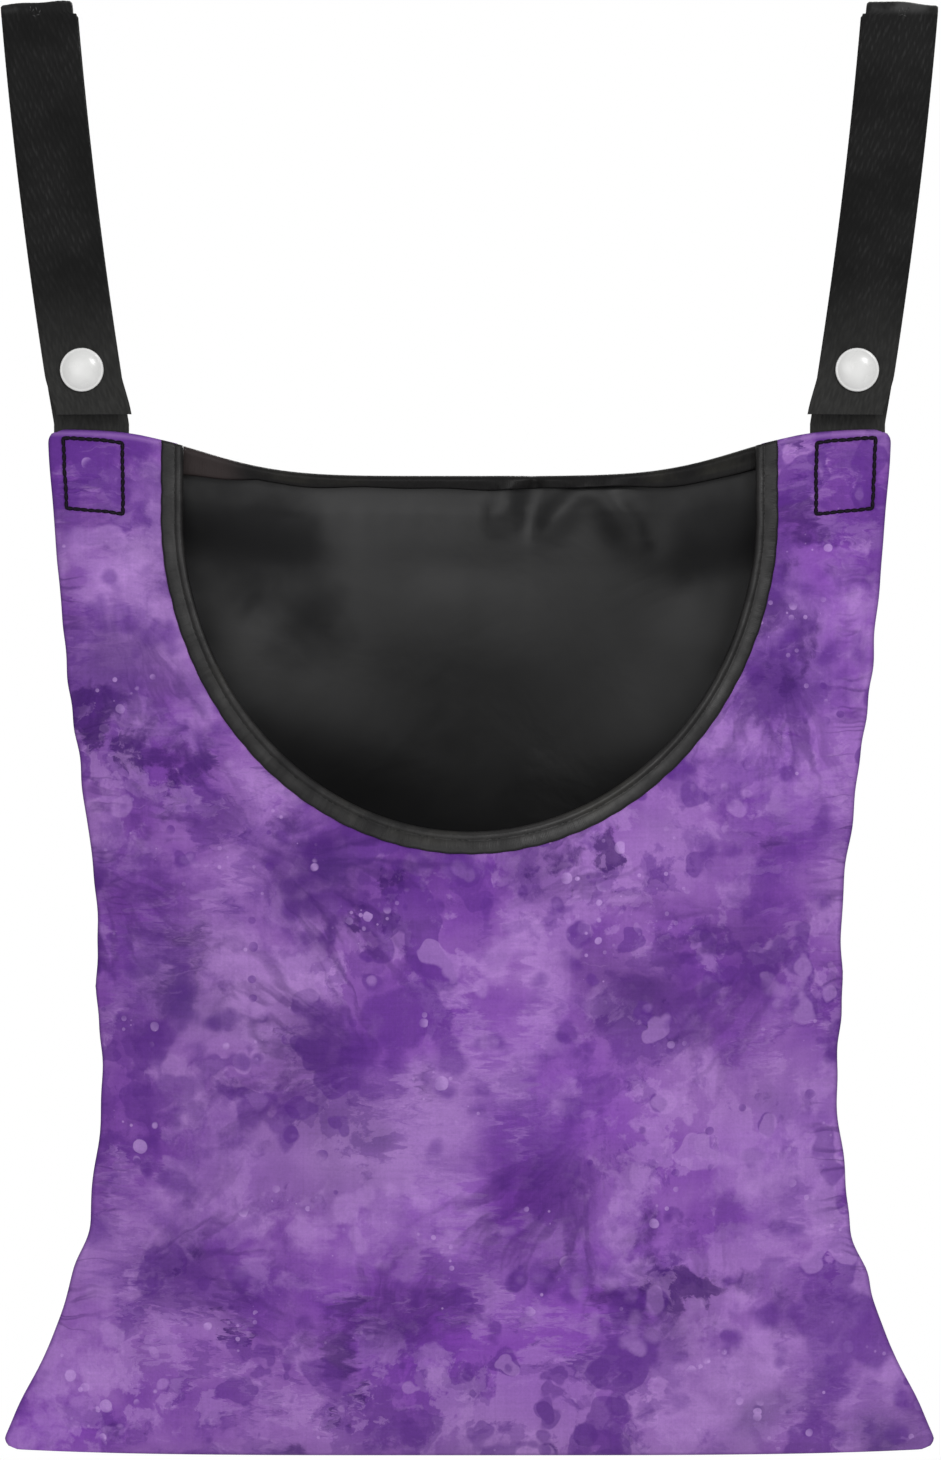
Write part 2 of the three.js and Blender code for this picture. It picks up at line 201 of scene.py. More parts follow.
# A point of the bag: way is -1 on the front and 1 on the back, outwards counts from its inner face
def bagPoint(x, drop, way, outwards, folds=(), pinched=True):
    side = np.sign(x)
    aside = np.abs(x)
    level = sagged(x, drop)
    half = outline(drop, side)
    across = np.clip(x / half, -1, 1)
    foot = bagHeight - bagCut["bottomLift"] * across ** 4
    lowness = math.log(0.5) / math.log(bagCut["bellyDrop"] / bagHeight)
    rise = np.sin(math.pi * np.clip(level / foot, 0, 1) ** lowness)
    full = np.clip(rise, 0, 1) ** bagCut["bellyRound"] * np.cos(math.pi / 2 * across)
    belly = bagCut["frontBelly"] if way < 0 else bagCut["backBelly"]
    tail = smooth(level, bagCut["tailDepth"], bagCut["tailDepth"] + bagCut["tailFade"])
    room = mixed(bagCut["tailRoom"], bagCut["seamRoom"], tail) / 2
    nearEdge = np.minimum((1 - np.abs(across)) * half, foot - drop)
    pinch = 1 - smooth(nearEdge, 0, bagCut["pinchReach"])
    besideTail = smooth(aside, mouthHalf - mm, mouthHalf + bagCut["besideMouth"])
    besideTail = besideTail * (1 - smooth(aside, tailLow.x - bagCut["besideTail"], tailLow.x - mm))
    pinch = np.maximum(pinch, besideTail * (1 - smooth(drop, 0, bagCut["besideDepth"])))
    if not pinched:
        pinch = pinch * 0
    sewn = mixed(bagCut["tailPinch"], bagCut["seamPinch"], tail)
    stand = belly * full + mixed(room + outwards, sewn, pinch)
    stand = stand + foldHeight(x, drop, folds) * (1 - pinch)
    if pinched and way < 0:
        roll = (1 - smooth(drop, 0, bagCut["rollDepth"])) ** 2
        stand = stand - bagCut["topRoll"] * roll * (1 - pinch)
    wander = seamWander(drop, side) * (1 - smooth(nearEdge, 0, seam["wanderReach"]))
    return np.column_stack([x, seamY + way * stand + wander, bagTop - level])


# Edge of the mouth, moved in from the outer edge of its tape; share runs from left end to right end
def mouthEdge(inset, share):
    half = mouthHalf - inset
    side = bagCut["mouthSide"]
    scoop = bagCut["mouthDepth"] - side - inset
    arc = math.pi * (mouthHalf + bagCut["mouthDepth"] - side) / 2
    sideShare = side / (2 * side + arc)
    turn = math.pi * np.clip((share - sideShare) / (1 - 2 * sideShare), 0, 1)
    down = np.minimum(share, 1 - share) / sideShare
    drop = np.where(down < 1, side * down, side + scoop * np.sin(turn))
    return -half * np.cos(turn), drop


# Mesh tools
def deselectAll():
    if bpy.context.object and bpy.context.object.mode != "OBJECT":
        bpy.ops.object.mode_set(mode="OBJECT")
    bpy.ops.object.select_all(action="DESELECT")


def makeActive(obj):
    deselectAll()
    obj.select_set(True)
    bpy.context.view_layer.objects.active = obj


def linked(obj):
    bpy.context.scene.collection.objects.link(obj)
    return obj


def readPoints(obj):
    points = np.empty(len(obj.data.vertices) * 3)
    obj.data.vertices.foreach_get("co", points)
    return points.reshape(-1, 3)


def writePoints(obj, points):
    obj.data.vertices.foreach_set("co", np.ascontiguousarray(points, dtype=np.float32).ravel())
    obj.data.update()


def writeMap(obj, u, v):
    mesh = obj.data
    corners = np.empty(len(mesh.loops), dtype=np.int64)
    mesh.loops.foreach_get("vertex_index", corners)
    spots = np.column_stack([u, v])[corners].astype(np.float32)
    mesh.uv_layers.active.data.foreach_set("uv", spots.ravel())


def writeShare(obj, name, values):
    layer = obj.data.attributes.new(name, "FLOAT", "POINT")
    layer.data.foreach_set("value", values.astype(np.float32))


def applied(obj, kind, **settings):
    makeActive(obj)
    bpy.ops.object.modifier_add(type=kind)
    modifier = obj.modifiers[-1]
    for key, value in settings.items():
        setattr(modifier, key, value)
    bpy.ops.object.modifier_apply(modifier=modifier.name)


# Runs one edit-mode operator on a whole mesh
def edited(obj, operator, **settings):
    makeActive(obj)
    bpy.ops.object.mode_set(mode="EDIT")
    bpy.ops.mesh.select_all(action="SELECT")
    operator(**settings)
    bpy.ops.object.mode_set(mode="OBJECT")


def gridSheet(name, columns, rows):
    deselectAll()
    bpy.ops.mesh.primitive_grid_add(x_subdivisions=columns, y_subdivisions=rows, size=1)
    sheet = bpy.context.object
    sheet.name = sheet.data.name = name
    return sheet


def smoothShaded(obj, angle=None):
    makeActive(obj)
    if angle is None:
        bpy.ops.object.shade_smooth()
    else:
        bpy.ops.object.shade_smooth_by_angle(angle=math.radians(angle))


def dress(obj, material, body=None, replaces=()):
    obj.data.materials.clear()
    obj.data.materials.append(material)
    if body:
        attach(obj, body)
    if replaces:
        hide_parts(*replaces)


# Material tools: they work in the node tree that was started last
tree = None


def linear(r, g, b):
    def channel(value):
        share = value / 255
        return share / 12.92 if share <= 0.04045 else ((share + 0.055) / 1.055) ** 2.4
    return (channel(r), channel(g), channel(b), 1)


def newFinish(name, roughness, shine=0.5, **sockets):
    global tree
    finish = bpy.data.materials.new(name)
    finish.use_nodes = True
    tree = finish.node_tree
    shader = tree.nodes["Principled BSDF"]
    shader.inputs["Roughness"].default_value = roughness
    shader.inputs["Specular IOR Level"].default_value = shine
    for key, value in sockets.items():
        shader.inputs[key].default_value = value
    return finish, shader


def put(kind, inputs=None, **settings):
    made = tree.nodes.new("ShaderNode" + kind)
    for key, value in settings.items():
        setattr(made, key, value)
    for key, value in (inputs or {}).items():
        if isinstance(value, bpy.types.NodeSocket):
            tree.links.new(value, made.inputs[key])
        else:
            made.inputs[key].default_value = value
    return made


def calc(operation, a, b=0.0):
    return put("Math", {0: a, 1: b}, operation=operation).outputs[0]


def plus(a, b):
    return calc("ADD", a, b)


def minus(a, b):
    return calc("SUBTRACT", a, b)


def times(a, b):
    return calc("MULTIPLY", a, b)


# How far a noise is from its middle, which runs in thin lines
def offMiddle(value):
    return calc("ABSOLUTE", minus(value, 0.5))


def vectorCalc(operation, a, b, output="Vector"):
    second = "Scale" if operation == "SCALE" else 1
    return put("VectorMath", {0: a, second: b}, operation=operation).outputs[output]


def parts(vector):
    return put("SeparateXYZ", {0: vector}).outputs[:]


def joined(x, y=0.0, z=0.0):
    return put("CombineXYZ", {0: x, 1: y, 2: z}).outputs[0]


def remap(value, low, high, toLow=0.0, toHigh=1.0):
    ends = {0: value, 1: low, 2: high, 3: toLow, 4: toHigh}
    return put("MapRange", ends, interpolation_type="SMOOTHSTEP").outputs[0]


def noise(vector, scale, detail=2.0, roughness=0.5, distortion=0.0, output="Fac"):
    ends = {"Vector": vector, "Scale": scale, "Detail": detail, "Roughness": roughness}
    return put("TexNoise", {**ends, "Distortion": distortion}).outputs[output]


def waves(vector, scale, direction, **inputs):
    ends = {"Vector": vector, "Scale": scale, **inputs}
    return put("TexWave", ends, bands_direction=direction).outputs["Fac"]


def blended(share, a, b, kind="MIX"):
    return put("Mix", {0: share, 6: a, 7: b}, data_type="RGBA", blend_type=kind).outputs[2]


def toneRamp(value, stops):
    ramp = put("ValToRGB", {0: value})
    elements = ramp.color_ramp.elements
    while len(elements) < len(stops):
        elements.new(0.5)
    for element, (place, colour) in zip(elements, stops):
        element.position = place
        element.color = colour
    return ramp.outputs[0]


def moved(vector, shift=(0, 0, 0), scale=(1, 1, 1), turn=(0, 0, 0), kind="POINT"):
    ends = {"Vector": vector, "Location": shift, "Scale": scale, "Rotation": turn}
    return put("Mapping", ends, vector_type=kind).outputs[0]


def feed(shader, colour, roughness=None):
    tree.links.new(colour, shader.inputs["Base Color"])
    if roughness:
        tree.links.new(roughness, shader.inputs["Roughness"])


def bumped(shader, height, strength, distance):
    bump = put("Bump", {"Height": height, "Strength": strength, "Distance": distance})
    tree.links.new(bump.outputs[0], shader.inputs["Normal"])


def surfaceMap():
    return put("TexCoord").outputs["UV"]


def objectMap():
    return put("TexCoord").outputs["Object"]


# Place on a piece as it was at rest, read from its rest attribute
def restMap():
    return put("Attribute", attribute_name="rest").outputs["Vector"]


def shareMap(name):
    return put("Attribute", attribute_name=name).outputs["Fac"]


# Crumple-dyed purple cotton, mapped in decimetres from the lower left corner of the panel
dye = {
    "light": 0.94,        # share of the tones below that the cloth gives back
    "low": (108, 59, 147), "mid": (129, 84, 161), "high": (146, 104, 175),
    "violet": (121, 57, 168), "mauve": (142, 110, 166),
    "pale": (168, 128, 194), "dark": (84, 40, 127), "deep": (54, 20, 92), "smudge": (64, 50, 100),
    "drop": (178, 142, 204), "seam": (64, 32, 98), "zoneShare": 0.055,
    # where the knots took up much dye or little: place, reach and strength
    "darkZones": [
        (0.27, 2.58, 0.34, 1.5), (0.58, 2.20, 0.34, 0.9), (2.56, 3.02, 0.26, 1.4), (2.63, 2.64, 0.36, 1.7),
        (2.52, 1.96, 0.5, 1.0), (2.10, 1.52, 0.4, 0.8), (1.08, 1.94, 0.36, 0.8), (1.16, 1.38, 0.36, 0.7),
        (1.68, 1.02, 0.3, 1.0), (0.34, 1.08, 0.34, 0.9), (0.70, 0.52, 0.34, 0.6), (1.40, 0.52, 0.28, 0.7),
        (2.04, 0.46, 0.32, 0.7), (2.72, 0.48, 0.32, 0.9), (2.22, 0.76, 0.3, 1.0), (0.30, 3.34, 0.34, 1.4),
        (2.80, 3.30, 0.36, 1.6),
    ],
    "paleZones": [
        (0.42, 2.92, 0.2, 0.5), (2.86, 2.84, 0.22, 0.8), (0.84, 1.58, 0.4, 0.7), (1.40, 0.80, 0.36, 0.9),
        (2.48, 1.04, 0.4, 0.4), (0.46, 0.36, 0.36, 0.6), (2.58, 1.46, 0.26, 0.7), (1.64, 1.56, 0.3, 0.6),
        (2.66, 3.02, 0.2, 0.6), (2.36, 0.22, 0.3, 0.6),
    ],
    # washes and rounder blooms: tone, a number of their own, scale, level and strength
    "washes": [
        ("pale", 3.1, 1.5, 0.47, 0.34), ("dark", 9.2, 1.4, 0.5, 0.38), ("pale", 6.4, 3.0, 0.48, 0.38),
        ("dark", 12.7, 2.8, 0.49, 0.42), ("deep", 15.3, 2.1, 0.55, 0.72), ("pale", 18.9, 5.6, 0.49, 0.34),
        ("dark", 21.6, 6.4, 0.5, 0.34),
    ],
    "blooms": [
        ("dark", 27.1, 1.9, 0.44, 0.6), ("pale", 31.8, 2.4, 0.48, 0.42), ("dark", 35.2, 2.8, 0.47, 0.55),
    ],
    # fans of streaks: start, heading in degrees, length, strength and a number of their own
    "fans": [
        (0.98, 1.98, -25, 0.62, 0.9, 1), (1.12, 1.36, 172, 0.5, 0.75, 2), (0.30, 1.92, -50, 0.42, 0.6, 3),
        (1.72, 1.92, 40, 0.46, 0.7, 4), (2.56, 1.70, 205, 0.55, 0.6, 5), (0.52, 0.60, 15, 0.5, 0.6, 6),
        (1.86, 0.98, 240, 0.5, 0.75, 7), (2.56, 2.62, -100, 0.45, 0.65, 8), (0.40, 2.72, -80, 0.46, 0.7, 9),
        (2.30, 0.42, 120, 0.42, 0.5, 10), (1.28, 0.42, 60, 0.4, 0.55, 11), (0.78, 2.10, 150, 0.4, 0.6, 12),
    ],
}


def dyeTone(name):
    r, g, b, a = linear(*dye[name])
    return (r * dye["light"], g * dye["light"], b * dye["light"], a)


def dyed(colour, tone, share, strength):
    return blended(times(share, strength), colour, dyeTone(tone))


def stirredMap(vector, scale, detail, push):
    stir = noise(vector, scale, detail, 0.55, output="Color")
    centred = vectorCalc("SUBTRACT", stir, (0.5, 0.5, 0.5))
    return vectorCalc("ADD", vector, vectorCalc("SCALE", centred, push))


def zoneField(vector, zones):
    total = 0.0
    for x, y, reach, share in zones:
        away = vectorCalc("DISTANCE", vector, (x, y, 0), "Value")
        total = plus(remap(away, 0.0, reach, share, 0.0), total)
    return total


def dyePlaces(cloth, shift, scale, low, high):
    return remap(noise(moved(cloth, shift), scale, 1.5), low, high)


# Dye creeps along the weft threads, so the rims of its washes are drawn out sideways into teeth
def creptMap(vector, cloth, push):
    threads = noise(moved(cloth, scale=(8, 34, 1)), 1.0, 3, 0.6)
    creep = times(times(minus(threads, 0.5), push), dyePlaces(cloth, (6.1, 1.8, 0), 1.5, 0.46, 0.62))
    return vectorCalc("ADD", vector, joined(creep))


def cellMiddles(vector, scale):
    return put("TexVoronoi", {"Vector": vector, "Scale": scale}).outputs["Distance"]


# Round lobes of two sizes, 0 at the middle of a lobe
def lobeField(vector, large, small):
    return plus(times(cellMiddles(vector, large), 0.74), times(cellMiddles(vector, small), 0.26))


# A wash of dye whose rim is lobed in some places and soft in others
def dyeWash(vector, lobes, softness, bias, shift, scale, level, detail):
    field = noise(moved(vector, (shift, shift * 0.7, shift)), scale, detail, 0.64)
    field = plus(minus(field, lobes), bias)
    return remap(field, minus(level, softness), plus(level, softness))


# Streaks that spread from a dark root like the folds of a tied knot
def streakFan(vector, fan):
    x, y, heading, length, strength, number = fan
    local = moved(vector, (x, y, 0), (length, length, 1), (0, 0, math.radians(heading)), "TEXTURE")
    ahead, aside, _ = parts(local)
    spread = calc("DIVIDE", aside, plus(calc("MAXIMUM", ahead, -0.1), 0.26))
    wander = noise(joined(times(ahead, 0.5), spread, number * 3.7), 3.2, 3, 0.55, 0.2)
    thin = remap(ahead, 0.0, 1.0, 0.16, 0.035)
    lines = remap(offMiddle(wander), 0.0, thin, 1.0, 0.0)
    reach = times(remap(ahead, -0.1, 0.08), remap(ahead, 0.35, 1.05, 1.0, 0.0))
    reach = times(reach, remap(calc("ABSOLUTE", spread), 0.45, 1.0, 1.0, 0.0))
    root = vectorCalc("DISTANCE", local, (0.14, 0, 0), "Value")
    stain = remap(plus(root, times(wander, 0.5)), 0.32, 0.66, 0.85, 0.0)
    return times(calc("MAXIMUM", times(lines, reach), stain), strength)


# Narrow trails along which drops fell
def dropTrails(cloth, shift, scale, width, low, high):
    trail = remap(offMiddle(noise(moved(cloth, shift), scale, 1.0)), 0.0, width, 1.0, 0.0)
    return times(trail, dyePlaces(cloth, (shift[1], shift[0], 0), scale, low, high))


def dropletSpots(cloth, scale, size, rarity, where):
    cells = put("TexVoronoi", {"Vector": cloth, "Scale": scale, "Randomness": 0.9})
    chance = put("SeparateColor", {0: cells.outputs["Color"]}).outputs[0]
    radius = times(calc("POWER", chance, rarity), size)
    return times(remap(minus(radius, cells.outputs["Distance"]), 0.0, 0.06), where)


def printedFinish():
    finish, shader = newFinish("printedCloth", 0.85, 0.12, **{"Sheen Weight": 0.02})
    cloth = surfaceMap()
    loose = stirredMap(cloth, 2.4, 3, 0.17)
    ragged = creptMap(stirredMap(loose, 16, 4, 0.05), cloth, 0.3)
    roundish = stirredMap(cloth, 9, 2, 0.02)
    lobes = times(lobeField(ragged, 8.0, 19.0), 0.15)
    petals = times(lobeField(roundish, 8.5, 17.0), 0.3)
    softness = remap(noise(moved(cloth, (4.4, 1.1, 0)), 1.9, 2), 0.36, 0.62, 0.012, 0.075)
    zones = minus(zoneField(loose, dye["darkZones"]), zoneField(loose, dye["paleZones"]))
    darker, paler = times(zones, dye["zoneShare"]), times(zones, -dye["zoneShare"])
    bias = {"pale": paler, "dark": darker, "deep": darker}

    base = plus(noise(loose, 1.6, 5, 0.58), paler)
    stops = [(0.0, dyeTone("low")), (0.5, dyeTone("mid")), (1.0, dyeTone("high"))]
    colour = toneRamp(remap(base, 0.34, 0.66), stops)
    colour = dyed(colour, "violet", dyePlaces(cloth, (7.3, 2.9, 0), 0.95, 0.48, 0.68), 0.55)
    colour = dyed(colour, "mauve", dyePlaces(cloth, (2.2, 8.6, 0), 1.1, 0.5, 0.68), 0.5)
    for tone, shift, scale, level, share in dye["washes"]:
        wash = dyeWash(ragged, lobes, softness, bias[tone], shift, scale, level, 8)
        colour = dyed(colour, tone, wash, share)
    bled = remap(plus(noise(moved(loose, (5.9, 3.3, 0)), 1.3, 3), darker), 0.54, 0.78)
    colour = dyed(colour, "deep", bled, 0.75)
    for tone, shift, scale, level, share in dye["blooms"]:
        bloom = dyeWash(roundish, petals, times(softness, 0.7), bias[tone], shift, scale, level, 3)
        colour = dyed(colour, tone, bloom, share)
    veined = stirredMap(stirredMap(cloth, 4, 2, 0.07), 22, 3, 0.022)
    for fan in dye["fans"]:
        colour = dyed(colour, "deep", streakFan(veined, fan), 0.7)

    scratched = remap(noise(moved(ragged, scale=(2.6, 17, 1)), 1.6, 5, 0.62), 0.6, 0.68)
    scratches = times(scratched, dyePlaces(cloth, (1.4, 5.5, 0), 1.3, 0.48, 0.6))
    colour = dyed(colour, "pale", scratches, 0.16)
    colour = dyed(colour, "smudge", dyePlaces(loose, (8.8, 0.6, 0), 2.1, 0.6, 0.78), 0.5)
    splashed = dropTrails(cloth, (2.6, 4.8, 0), 2.3, 0.05, 0.5, 0.56)
    colour = dyed(colour, "drop", dropletSpots(roundish, 17, 0.46, 1.7, splashed), 0.62)
    misted = dropTrails(cloth, (2.6, 4.8, 0), 2.3, 0.09, 0.48, 0.56)
    colour = dyed(colour, "drop", dropletSpots(cloth, 34, 0.36, 2.6, misted), 0.55)
    flecked = dropTrails(cloth, (7.7, 0.4, 0), 2.1, 0.06, 0.5, 0.56)
    specks = dropletSpots(moved(roundish, (0.31, 0.17, 0)), 18, 0.42, 1.8, flecked)
    colour = dyed(colour, "dark", specks, 0.6)

    warpSlubs = noise(moved(cloth, scale=(70, 3, 1)), 1.0, 3, 0.6)
    weftSlubs = noise(moved(cloth, scale=(3, 70, 1)), 1.0, 3, 0.6)
    slubs = times(plus(warpSlubs, weftSlubs), 0.5)
    grain = times(plus(slubs, noise(cloth, 110, 3, 0.7)), 0.5)
    grey = put("CombineColor", {0: grain, 1: grain, 2: grain}).outputs[0]
    colour = blended(0.38, colour, grey, "OVERLAY")
    # Darker along the side and bottom seams: painted shade where the cloth rolls into the seam
    colour = dyed(colour, "seam", shareMap("edge"), 0.5)
    # Paler along the rolled top edge: a painted highlight where the fold catches the light
    colour = dyed(colour, "pale", shareMap("roll"), 0.38)
    # Thin dark lines beside the gathered side seams: painted shade in the seam creases
    drawn = noise(moved(stirredMap(cloth, 6, 2, 0.08), scale=(1.6, 13, 1)), 1.0, 2)
    line = remap(offMiddle(drawn), 0.0, 0.035, 1.0, 0.0)
    line = times(line, times(shareMap("gathered"), dyePlaces(cloth, (3.9, 9.1, 0), 3.4, 0.44, 0.56)))
    colour = dyed(colour, "deep", line, 0.42)
    feed(shader, colour, remap(base, 0.3, 0.7, 0.8, 0.9))
    crumple = minus(noise(loose, 7, 4, 0.5), times(line, 0.4))
    weave = times(plus(waves(cloth, 50.0, "X"), waves(cloth, 50.0, "Y")), 0.012)
    bumped(shader, plus(crumple, weave), 0.3, 1.2 * mm)
    return finish


# Black satin for the back and the lining: smooth, with a soft shine and fine creases
satin = {
    # worn is the lighter tone of the mottled patches, painted sheen as well as wear
    "base": (8, 8, 9), "worn": (24, 24, 25), "roughness": 0.42, "shine": 0.31, "dulled": 0.7,
    **lengths(matteFrom=45, matteTo=95),
    # where the shine is rubbed off: x, z, reach and strength
    "dull": [(-0.080, -0.176, 0.036, 1.0), (-0.058, -0.184, 0.030, 0.8), (-0.054, -0.210, 0.022, 0.7),
             (0.086, -0.176, 0.034, 0.9), (0.054, -0.170, 0.018, 0.6)],
}


def satinFinish(name, roughness, shine):
    finish, shader = newFinish(name, roughness, shine)
    place = objectMap()
    x, _, z = parts(place)
    shade = noise(place, 11, 3, 0.5)
    # Mottled lighter patches: painted sheen on the satin, as well as wear
    colour = blended(remap(shade, 0.4, 0.66), linear(*satin["base"]), linear(*satin["worn"]))
    matte = remap(calc("ABSOLUTE", x), satin["matteFrom"], satin["matteTo"], 0.0, 0.2)
    feed(shader, colour, plus(matte, remap(shade, 0.3, 0.7, roughness + 0.1, roughness - 0.06)))
    dull = zoneField(stirredMap(joined(x, z), 30, 3, 0.03), satin["dull"])
    dull = calc("MAXIMUM", dull, remap(noise(place, 17, 3), 0.5, 0.7, 0.0, 0.45))
    shineLeft = remap(dull, 0.0, 1.0, shine, shine * (1 - satin["dulled"]))
    tree.links.new(shineLeft, shader.inputs["Specular IOR Level"])
    thread = noise(moved(place, scale=(1, 1, 6)), 420, 2)
    bumped(shader, plus(noise(place, 26, 4, 0.5, 0.5), times(thread, 0.015)), 0.35, 2.2 * mm)
    return finish


# Folded tape of the mouth and the rim: satin-faced, greyer where it is rubbed, and darker along its front
# leaf's free edge as painted shade; its map is in millimetres
tape = {
    "base": (11, 10, 11), "faded": (46, 45, 38), "mouthRubbed": (33, 32, 32), "rimRubbed": (15, 14, 14),
    "rimTurned": (44, 37, 37), "turnedFrom": -84.0, "turnedTo": -72.0,
    "roughness": 0.42, "mouthShine": 0.29, "rimShine": 0.13,
}


def tapeFinish(name, rubbedTone, shine, turnedTone=None):
    finish, shader = newFinish(name, tape["roughness"], shine)
    strip, place = surfaceMap(), objectMap()
    along, reach, _ = parts(strip)
    rubbed = noise(place, 70, 4, 0.6)
    # The rubbed grey is held back near the front leaf's free edge, so that edge stays darker: painted shade
    # there, wear elsewhere
    worn = times(remap(rubbed, 0.35, 0.72), remap(reach, 1.8, 3.4, 0.15, 1.0))
    colour = blended(worn, linear(*tape["base"]), linear(*rubbedTone))
    faded = remap(noise(place, 24, 2), 0.5, 0.68, 0.0, 0.5)
    colour = blended(times(faded, worn), colour, linear(*tape["faded"]))
    if turnedTone:
        turned = remap(along, tape["turnedFrom"], tape["turnedTo"], 0.9, 0.0)
        colour = blended(turned, colour, linear(*turnedTone))
    feed(shader, colour, remap(rubbed, 0.3, 0.7, 0.52, 0.4))
    ribs = waves(strip, 0.55, "X", Distortion=0.6, Detail=1.0)
    pucker = noise(moved(strip, scale=(0.35, 0.08, 1)), 1.0, 3)
    bumped(shader, plus(times(ribs, 0.05), pucker), 0.5, 0.7 * mm)
    return finish


# Black webbing: a dense twill with a few dusty threads; its map is in millimetres
web = {
    "base": (13, 13, 13), "dusty": (35, 35, 35), "rubbed": (46, 46, 45), "worn": (54, 54, 54), "shine": 0.14,
    **lengths(rubbedFrom=-85, rubbedTo=-128, wornFrom=-3.5, wornTo=-0.5),
}


def webbingFinish():
    finish, shader = newFinish("blackWebbing", 0.8, web["shine"])
    strip, place = surfaceMap(), restMap()
    dust = noise(place, 38, 5, 0.6)
    twill = moved(strip, scale=(1.0, 0.36, 1))
    picks = waves(twill, 0.34, "DIAGONAL", **{"Distortion": 1.6, "Detail": 2.0, "Detail Scale": 1.4})
    dashes = noise(moved(strip, scale=(1.25, 0.26, 1), turn=(0, 0, 0.16)), 1.0, 2)
    fleck = times(times(picks, remap(dashes, 0.45, 0.7, 0.1, 1.0)), remap(dust, 0.35, 0.7, 0.3, 1.0))
    colour = blended(fleck, linear(*web["base"]), linear(*web["dusty"]))
    height = parts(place)[2]
    # The webbing turns lighter grey towards its lower end
    rubbed = remap(height, web["rubbedFrom"], web["rubbedTo"], 0.0, 0.75)
    rubbed = times(rubbed, remap(dashes, 0.3, 0.7, 0.6, 1.0))
    colour = blended(rubbed, colour, linear(*web["rubbed"]))
    crown = times(remap(height, web["wornFrom"], web["wornTo"]), remap(dust, 0.44, 0.6, 0.1, 1.0))
    colour = blended(crown, colour, linear(*web["worn"]))
    feed(shader, colour, remap(dust, 0.3, 0.7, 0.86, 0.68))
    bumped(shader, plus(picks, times(dust, 0.6)), 0.5, 0.2 * mm)
    return finish


# Threads: the two tones of their twist
threads = {
    "blackThread": ((6, 2, 10), (18, 9, 26)), "seamThread": ((26, 26, 26), (44, 44, 43)),
    "tackThread": ((38, 38, 38), (72, 72, 72)),
}


def threadFinish(name):
    finish, shader = newFinish(name, 0.62, 0.12)
    twist = waves(objectMap(), 420.0, "DIAGONAL", Distortion=2.0)
    low, high = threads[name]
    feed(shader, blended(twist, linear(*low), linear(*high)))
    bumped(shader, twist, 0.4, 0.15 * mm)
    return finish


# White moulded plastic of the press snaps, faintly uneven
plastic = {"low": (197, 197, 196), "high": (202, 202, 201)}


def snapFinish():
    finish, shader = newFinish("snapPlastic", 0.24, **{"Coat Weight": 0.25, "Coat Roughness": 0.12})
    place = objectMap()
    flow = noise(place, 160, 3, 0.5)
    colour = blended(remap(flow, 0.3, 0.7), linear(*plastic["low"]), linear(*plastic["high"]))
    feed(shader, colour, remap(flow, 0.3, 0.7, 0.3, 0.2))
    bumped(shader, noise(place, 900, 2), 0.08, 0.05 * mm)
    return finish


printedCloth = printedFinish()
backSatin = satinFinish("backSatin", satin["roughness"], satin["shine"])
liningSatin = satinFinish("liningSatin", satin["roughness"] + 0.1, satin["shine"] * 0.7)
bindingTape = tapeFinish("bindingTape", tape["mouthRubbed"], tape["mouthShine"])
rimBand = tapeFinish("rimBand", tape["rimRubbed"], tape["rimShine"], tape["rimTurned"])
blackWebbing = webbingFinish()
blackThread, seamThread, tackThread = (threadFinish(name) for name in threads)
snapPlastic = snapFinish()
print("finishes made")


# Cloth tools: a flat panel, its mouth, its pinned edges and how it settles
panelMesh = {
    "columns": 100, "rows": 112, "sideCrowding": 0.4, "endCrowding": 0.6,
    **lengths(thick=0.6, liningThick=0.3),
}


# Moves evenly spaced places between -1 and 1 closer together at both ends
def crowded(place, share):
    return place + share * np.sin(math.pi * place) / math.pi


def flatPanel(name):
    sheet = gridSheet(name, panelMesh["columns"], panelMesh["rows"])
    points = readPoints(sheet)
    across = crowded(points[:, 0] * 2, panelMesh["sideCrowding"])
    drop = (crowded(points[:, 1] * -2, panelMesh["endCrowding"]) + 1) / 2 * bagHeight
    x = across * outline(drop, np.sign(across))
    drop = drop - bagCut["bottomLift"] * across ** 4 * smooth(drop, bagHeight * 0.8, bagHeight)
    writePoints(sheet, np.column_stack([x, x * 0, -drop]))
    writeMap(sheet, (x + bottomHalf) * 10, (bagHeight - drop) * 10)
    return sheet


def insideMouth(x, drop, inset):
    half = mouthHalf - inset
    side = bagCut["mouthSide"]
    scoop = bagCut["mouthDepth"] - side - inset
    below = np.maximum(drop - side, 0) / scoop
    return (x / half) ** 2 * (below > 0) + below ** 2 + (np.abs(x) > half) * 2 < 1


def boundaryPoints(mesh):
    corners = np.empty(len(mesh.loops), dtype=np.int64)
    mesh.loops.foreach_get("edge_index", corners)
    uses = np.bincount(corners, minlength=len(mesh.edges))
    ends = np.empty(len(mesh.edges) * 2, dtype=np.int64)
    mesh.edges.foreach_get("vertices", ends)
    return np.unique(ends.reshape(-1, 2)[uses == 1])


